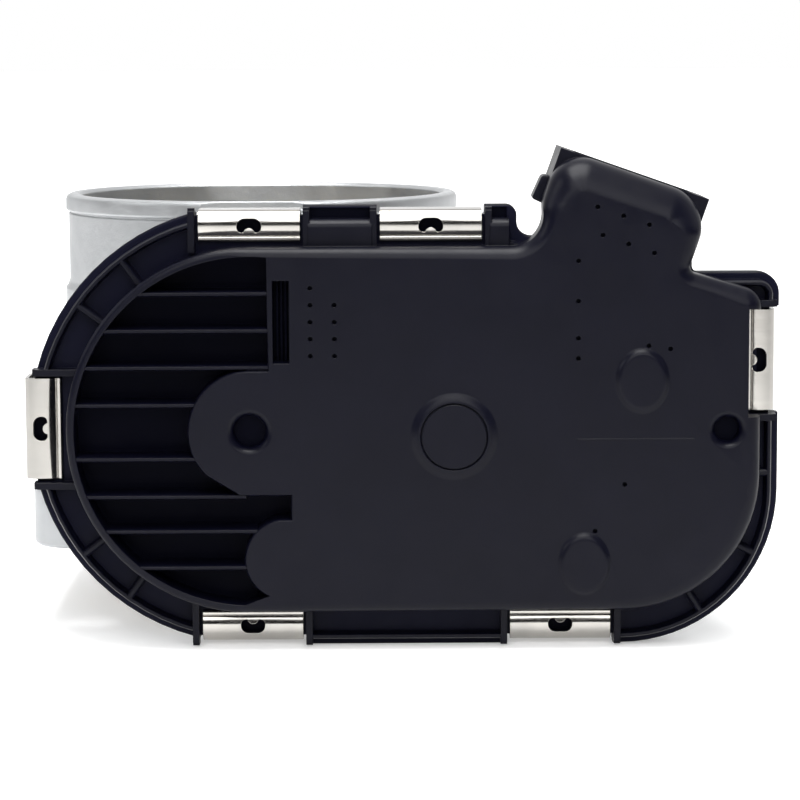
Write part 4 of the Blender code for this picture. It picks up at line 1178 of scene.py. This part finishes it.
def throttle_plate():
    """Brass disc, its rim cut upright so that it closes the bore at an angle."""
    plate = tilted_slab("plate", 40, 40, PLATE_THICK / 2, CLOSED_DEG)
    keep(plate, column("round", circle((0, 0), PLATE_R, 144), -30, 30))
    turned(plate, REST_DEG)
    return cut(plate, *[turned(screw_hole(y), CLOSED_DEG + REST_DEG) for y in PLATE_SCREWS_Y])


def screw_hole(y):
    """A cutter for one plate screw, through the shaft and the plate."""
    return turned_z("hole", [(PLATE_SCREW_HOLE_R, -8), (PLATE_SCREW_HOLE_R, 8)], (0, y), 32)


def throttle_shaft():
    """Steel shaft with a slot for the plate and flats under the plate screws."""
    near, far = SHAFT_ENDS
    profile = [
        (SHAFT_TIP_R - 0.4, SHAFT_TIP_Y),
        (SHAFT_TIP_R, SHAFT_TIP_Y + 0.4),
        (SHAFT_TIP_R, near),
        (SHAFT_R - 0.3, near),
        (SHAFT_R, near + 0.3),
        (SHAFT_R, far - 0.5),
        (SHAFT_R - 0.5, far),
    ]
    shaft = turned_y("shaft", (0, 0), profile)
    tilt = CLOSED_DEG + REST_DEG
    cut(shaft, tilted_slab("slot", 10, PLATE_R + 0.1, PLATE_THICK / 2 + GAP, tilt))
    for y in PLATE_SCREWS_Y:
        flat = block("flat", (-8, y - 4.0, SHAFT_FLAT_Z), (8, y + 4.0, 8))
        cut(shaft, turned(flat, tilt), turned(screw_hole(y), tilt))
    return shaft


def plate_screw(y):
    """A cap screw with a six-lobed recess in its domed head."""
    shank = [(1.2, -4.4), (1.5, -4.1), (1.5, 3.9)]
    head = [(2.7, 3.9), (2.9, 4.1), (2.9, 4.6), (2.5, 5.0), (1.8, 5.2)]
    screw = turned_z("screw", shank + head, (0, y), 48)
    turns = [2 * math.pi * step / 48 for step in range(48)]
    outline = [on_circle((0, y), 1.15 + 0.2 * math.cos(6 * turn), turn) for turn in turns]
    return turned(cut(screw, column("drive", outline, 4.1, 6.0)), CLOSED_DEG + REST_DEG)


def end_cap():
    """The pressed steel disc that closes the far bearing, dished in the middle."""
    edge = BEARING_R - 0.2
    rim = [(edge, 41.9), (edge, 43.1), (edge - 0.3, 43.4), (edge - 1.4, 43.4)]
    dish = [(edge - 2.2, 42.9), (edge - 3.0, 42.9)]
    return turned_y("cap", (0, 0), rim + dish, 96)


def flange_seal():
    """Rubber ring with a rounded face, in the flange's groove."""
    inner, outer = SEAL_GROOVE_R[0] + GAP, SEAL_GROOVE_R[1] - GAP
    low, high = FLANGE_BOTTOM + 0.1, FLANGE_BOTTOM + SEAL_GROOVE_DEPTH - GAP
    middle, half = (inner + outer) / 2, (outer - inner) / 2
    turns = [math.pi * step / 8 for step in range(9)]
    ridge = [(middle - half * math.cos(turn), low + 0.6 * (1 - math.sin(turn))) for turn in turns]
    profile = [(inner, high), *ridge, (outer, high)]
    return ring_from("seal", profile)


def connector_pin(u, y):
    """A square pin with a tapered tip."""
    sections = []
    for v, half in ((-SOCKET_DEPTH - PIN_FOOT, PIN_HALF), (-2.4, PIN_HALF), (-1.6, PIN_HALF * 0.45)):
        square = rectangle((-half, -half), (half, half))
        corners = [(hood_point(u + across, v), y + deep) for across, deep in square]
        sections.append([(x, depth, z) for (x, z), depth in corners])
    return loft("pin", sections)


# ---- materials


def mapped(tree, value, source, target, interpolation="SMOOTHSTEP"):
    """Maps a value from one range onto another."""
    made = tree.nodes.new("ShaderNodeMapRange")
    made.interpolation_type = interpolation
    made.inputs["From Min"].default_value, made.inputs["From Max"].default_value = source
    made.inputs["To Min"].default_value, made.inputs["To Max"].default_value = target
    tree.links.new(value, made.inputs["Value"])
    return made.outputs["Result"]


def sum_of_ramps(tree, *ramps):
    """Two mapped values added together."""
    total = tree.nodes.new("ShaderNodeMath")
    total.operation = "ADD"
    for number, ramp in enumerate(ramps):
        tree.links.new(mapped(tree, *ramp), total.inputs[number])
    return total.outputs["Value"]


class Finish:
    """A small builder for one node material."""

    def __init__(self, name, colour, metallic, roughness):
        self.material = bpy.data.materials.new(name)
        self.material.use_nodes = True
        self.tree = self.material.node_tree
        self.shader = self.tree.nodes["Principled BSDF"]
        self.shader.inputs["Base Color"].default_value = (*colour, 1.0)
        self.shader.inputs["Metallic"].default_value = metallic
        self.shader.inputs["Roughness"].default_value = roughness
        self.place = self.tree.nodes.new("ShaderNodeTexCoord").outputs["Object"]
        self.normal = None

    def node(self, kind, **settings):
        made = self.tree.nodes.new(kind)
        for key, value in settings.items():
            setattr(made, key, value)
        return made

    def link(self, source, target):
        self.tree.links.new(source, target)

    def noise(self, scale, detail=3.0, stretch=(1.0, 1.0, 1.0)):
        """Noise at a scale per metre, pulled along the axes by stretch."""
        mapping = self.node("ShaderNodeMapping")
        mapping.inputs["Scale"].default_value = stretch
        self.link(self.place, mapping.inputs["Vector"])
        made = self.node("ShaderNodeTexNoise")
        made.inputs["Scale"].default_value = scale
        made.inputs["Detail"].default_value = detail
        self.link(mapping.outputs["Vector"], made.inputs["Vector"])
        return made.outputs["Fac"]

    def rough(self, value, low, high):
        spread = mapped(self.tree, value, NOISE_RANGE, (low, high), "LINEAR")
        self.link(spread, self.shader.inputs["Roughness"])
        return self

    def tint(self, value, dark, light):
        """Colour that drifts between two tones."""
        ramp = self.node("ShaderNodeValToRGB")
        for stop, position, colour in zip(ramp.color_ramp.elements, NOISE_RANGE, (dark, light)):
            stop.position = position
            stop.color = (*colour, 1.0)
        self.link(value, ramp.inputs["Fac"])
        self.link(ramp.outputs["Color"], self.shader.inputs["Base Color"])
        return self

    def soften(self, radius_mm):
        """Rounds hard edges in the shading only."""
        made = self.node("ShaderNodeBevel", samples=4)
        made.inputs["Radius"].default_value = radius_mm * MM
        self.normal = made.outputs["Normal"]
        self.link(self.normal, self.shader.inputs["Normal"])
        return self

    def bump(self, value, height_mm, strength=1.0):
        """Adds relief on top of the relief so far."""
        made = self.node("ShaderNodeBump")
        made.inputs["Strength"].default_value = strength
        made.inputs["Distance"].default_value = height_mm * MM
        self.link(value, made.inputs["Height"])
        if self.normal is not None:
            self.link(self.normal, made.inputs["Normal"])
        self.normal = made.outputs["Normal"]
        self.link(self.normal, self.shader.inputs["Normal"])
        return self


def moulded_plastic(name, share, gloss):
    """Glass-filled black plastic: satin, faintly mottled, with fine grain."""
    dark = tuple(tone * share for tone in (0.0016, 0.0017, 0.0052))
    light = tuple(tone * share for tone in (0.0023, 0.0024, 0.0066))
    made = Finish(name, light, 0.0, 0.5)
    made.soften(0.25)
    made.tint(made.noise(90.0, 4.0), dark, light)
    made.rough(made.noise(260.0, 5.0), 0.29, 0.39)
    made.bump(made.noise(2600.0, 3.0), 0.03, 0.35)
    made.bump(made.noise(70.0, 2.0), 0.03, 0.12)
    made.shader.inputs["Specular IOR Level"].default_value = gloss
    return made.material


def cast_aluminium():
    """Die-cast aluminium: grainy skin, flow marks and duller patches."""
    made = Finish("cast_aluminium", (0.60, 0.61, 0.62), 1.0, 0.42)
    made.soften(0.35)
    made.tint(made.noise(45.0, 5.0), (0.37, 0.38, 0.39), (0.50, 0.51, 0.52))
    made.rough(made.noise(120.0, 6.0), 0.34, 0.52)
    made.bump(made.noise(900.0, 4.0), 0.10, 0.45)
    made.bump(made.noise(3200.0, 2.0), 0.03, 0.5)
    return made.material


def metal(name, dark, light, roughness, grain, stretch):
    """Bright metal with fine tool or rolling marks along one axis."""
    made = Finish(name, light, 1.0, roughness)
    made.soften(0.12)
    made.tint(made.noise(80.0, 3.0), dark, light)
    lines = made.noise(grain, 2.0, stretch)
    made.rough(lines, roughness * 0.8, roughness * 1.3)
    made.bump(lines, 0.012, 0.5)
    return made.material


def moulded(name, dark, light, roughness):
    """A matt moulded or pressed surface with faint mottling and grain."""
    made = Finish(name, light, 0.0, roughness)
    made.soften(0.15)
    made.tint(made.noise(120.0, 4.0), dark, light)
    made.rough(made.noise(400.0, 3.0), roughness * 0.85, min(1.0, roughness * 1.15))
    made.bump(made.noise(2400.0, 2.0), 0.02, 0.4)
    return made.material


def make_materials():
    """Every finish, by the record's slot name."""
    made = {"cast_aluminium": cast_aluminium()}
    made["cover_plastic"] = moulded_plastic("moulded_plastic", 1.0, 0.12)
    for name, settings in MOULDED.items():
        made[name] = moulded(name, *settings)
    for name, settings in METALS.items():
        made[name] = metal(name, *settings)
    return made


# ---- stage


def floor_material():
    """Pale paper that glows more and more from the front of the object to the far floor."""
    made = Finish("floor_paper", (0.80, 0.80, 0.80), 0.0, 0.6)
    made.tint(made.noise(3.0, 2.0), (0.80, 0.80, 0.80), (0.82, 0.82, 0.82))
    made.shader.inputs["Emission Color"].default_value = (1.0, 1.0, 1.0, 1.0)
    axes = made.node("ShaderNodeSeparateXYZ")
    made.link(made.place, axes.inputs["Vector"])
    near = (axes.outputs["Y"], (-0.28, -0.13), (0.0, 0.32))
    far = (axes.outputs["Y"], (0.05, 0.8), (0.0, 0.5))
    made.link(sum_of_ramps(made.tree, near, far), made.shader.inputs["Emission Strength"])
    return made.material


def floor():
    """A wide pale floor that glows towards the back."""
    outline = rectangle(*FLOOR)
    mesh = bpy.data.meshes.new("floor")
    mesh.from_pydata([(x, y, 0.0) for x, y in outline], [], [(0, 1, 2, 3)])
    mesh.materials.append(floor_material())
    made = placed("floor", mesh)
    made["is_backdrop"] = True


def soft_light(name, place, size, watts):
    """A softbox that looks at the middle of the object."""
    light = bpy.data.lights.new(name, "AREA")
    light.shape = "RECTANGLE"
    light.size, light.size_y = size
    light.energy = watts
    made = placed(name, light)
    made.location = place
    made.rotation_euler = (Vector(AIM) - Vector(place)).to_track_quat("-Z", "Y").to_euler()


def studio():
    """A white room that is bright behind the object and overhead, and dim in front of it."""
    world = bpy.data.worlds.new("studio")
    world.use_nodes = True
    tree = world.node_tree
    axes = tree.nodes.new("ShaderNodeSeparateXYZ")
    tree.links.new(tree.nodes.new("ShaderNodeTexCoord").outputs["Generated"], axes.inputs["Vector"])
    behind = (axes.outputs["Y"], (-0.2, 0.8), (0.01, 1.0))
    overhead = (axes.outputs["Z"], (0.1, 1.0), (0.0, 0.4))
    background = tree.nodes["Background"]
    background.inputs["Color"].default_value = (1.0, 1.0, 1.0, 1.0)
    tree.links.new(sum_of_ramps(tree, behind, overhead), background.inputs["Strength"])
    bpy.context.scene.world = world


def camera():
    """Looks at the cover from in front, slightly from above."""
    lens = bpy.data.cameras.new("camera")
    lens.lens = CAMERA_LENS
    lens.sensor_width = 36.0
    lens.clip_start = 0.01
    made = placed("camera", lens)
    made.location = to_world(*CAMERA_AT)
    pitch, yaw = math.radians(90.0 - CAMERA_PITCH_DEG), math.radians(-CAMERA_YAW_DEG)
    aim = Euler((pitch, 0.0, yaw), "XYZ").to_quaternion()
    roll = Euler((0.0, 0.0, math.radians(CAMERA_ROLL_DEG)), "XYZ").to_quaternion()
    made.rotation_mode = "QUATERNION"
    made.rotation_quaternion = aim @ roll
    bpy.context.scene.camera = made


# ---- the whole model


def paint_cad_nodes(materials):
    """Gives every CAD node the finished material of its own slot."""
    for node in frame["nodes"].values():
        slot = node.data.materials[0].name
        node.data.materials.clear()
        node.data.materials.append(materials[slot])


def make_pieces(materials):
    """Builds each detailed piece and hangs it on the body that its CAD node belongs to."""

    def add(made, body, slot, node):
        finished(made, body, materials[slot], slot, node)

    shell = cover()
    add(shell, "housing", "cover_plastic", "cover")
    # A copy of the plastic with far less gloss paints shade into the recess and the small hollows.
    hollow_shade_finish = moulded_plastic("painted_shade_hollow_plastic", 1.0, 0.02)
    # A copy with twice the base colour and far less gloss paints shade over the reflection on the
    # channel's floor.
    paint_shade_into_hollows(shell, hollow_shade_finish, moulded_plastic("painted_shade_channel_plastic", 2.0, 0.05))
    add(housing(), "housing", "cast_aluminium", "housing")
    add(flange_seal(), "housing", "seal_rubber", "flange_seal")
    add(end_cap(), "housing", "machined_steel", "shaft_end_cap")
    for number, (side, at) in enumerate(CLIPS, start=1):
        add(clip(side, at), "housing", "clip_steel", f"cover_clip_{number}")
    places = [(u, y) for y in PIN_ROWS_Y for u in PIN_COLUMNS_U]
    for number, (u, y) in enumerate(places, start=1):
        add(connector_pin(u, y), "housing", "contact_brass", f"connector_pin_{number}")
    add(throttle_plate(), "throttle", "plate_brass", "throttle_plate")
    add(throttle_shaft(), "throttle", "machined_steel", "throttle_shaft")
    for number, y in enumerate(PLATE_SCREWS_Y, start=1):
        add(plate_screw(y), "throttle", "machined_steel", f"plate_screw_{number}")


def write_sizes():
    """The CAD box beside the box of what is shown."""
    boxes = {"cad": cad_bounds, "visual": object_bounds()}
    {name: [list(corner) for corner in box] for name, box in boxes.items()}


materials = make_materials()
paint_cad_nodes(materials)
make_pieces(materials)
floor()
studio()
for name, settings in LIGHTS.items():
    soft_light(name, *settings)
camera()
bpy.context.scene.view_settings.view_transform = "Standard"
write_sizes()
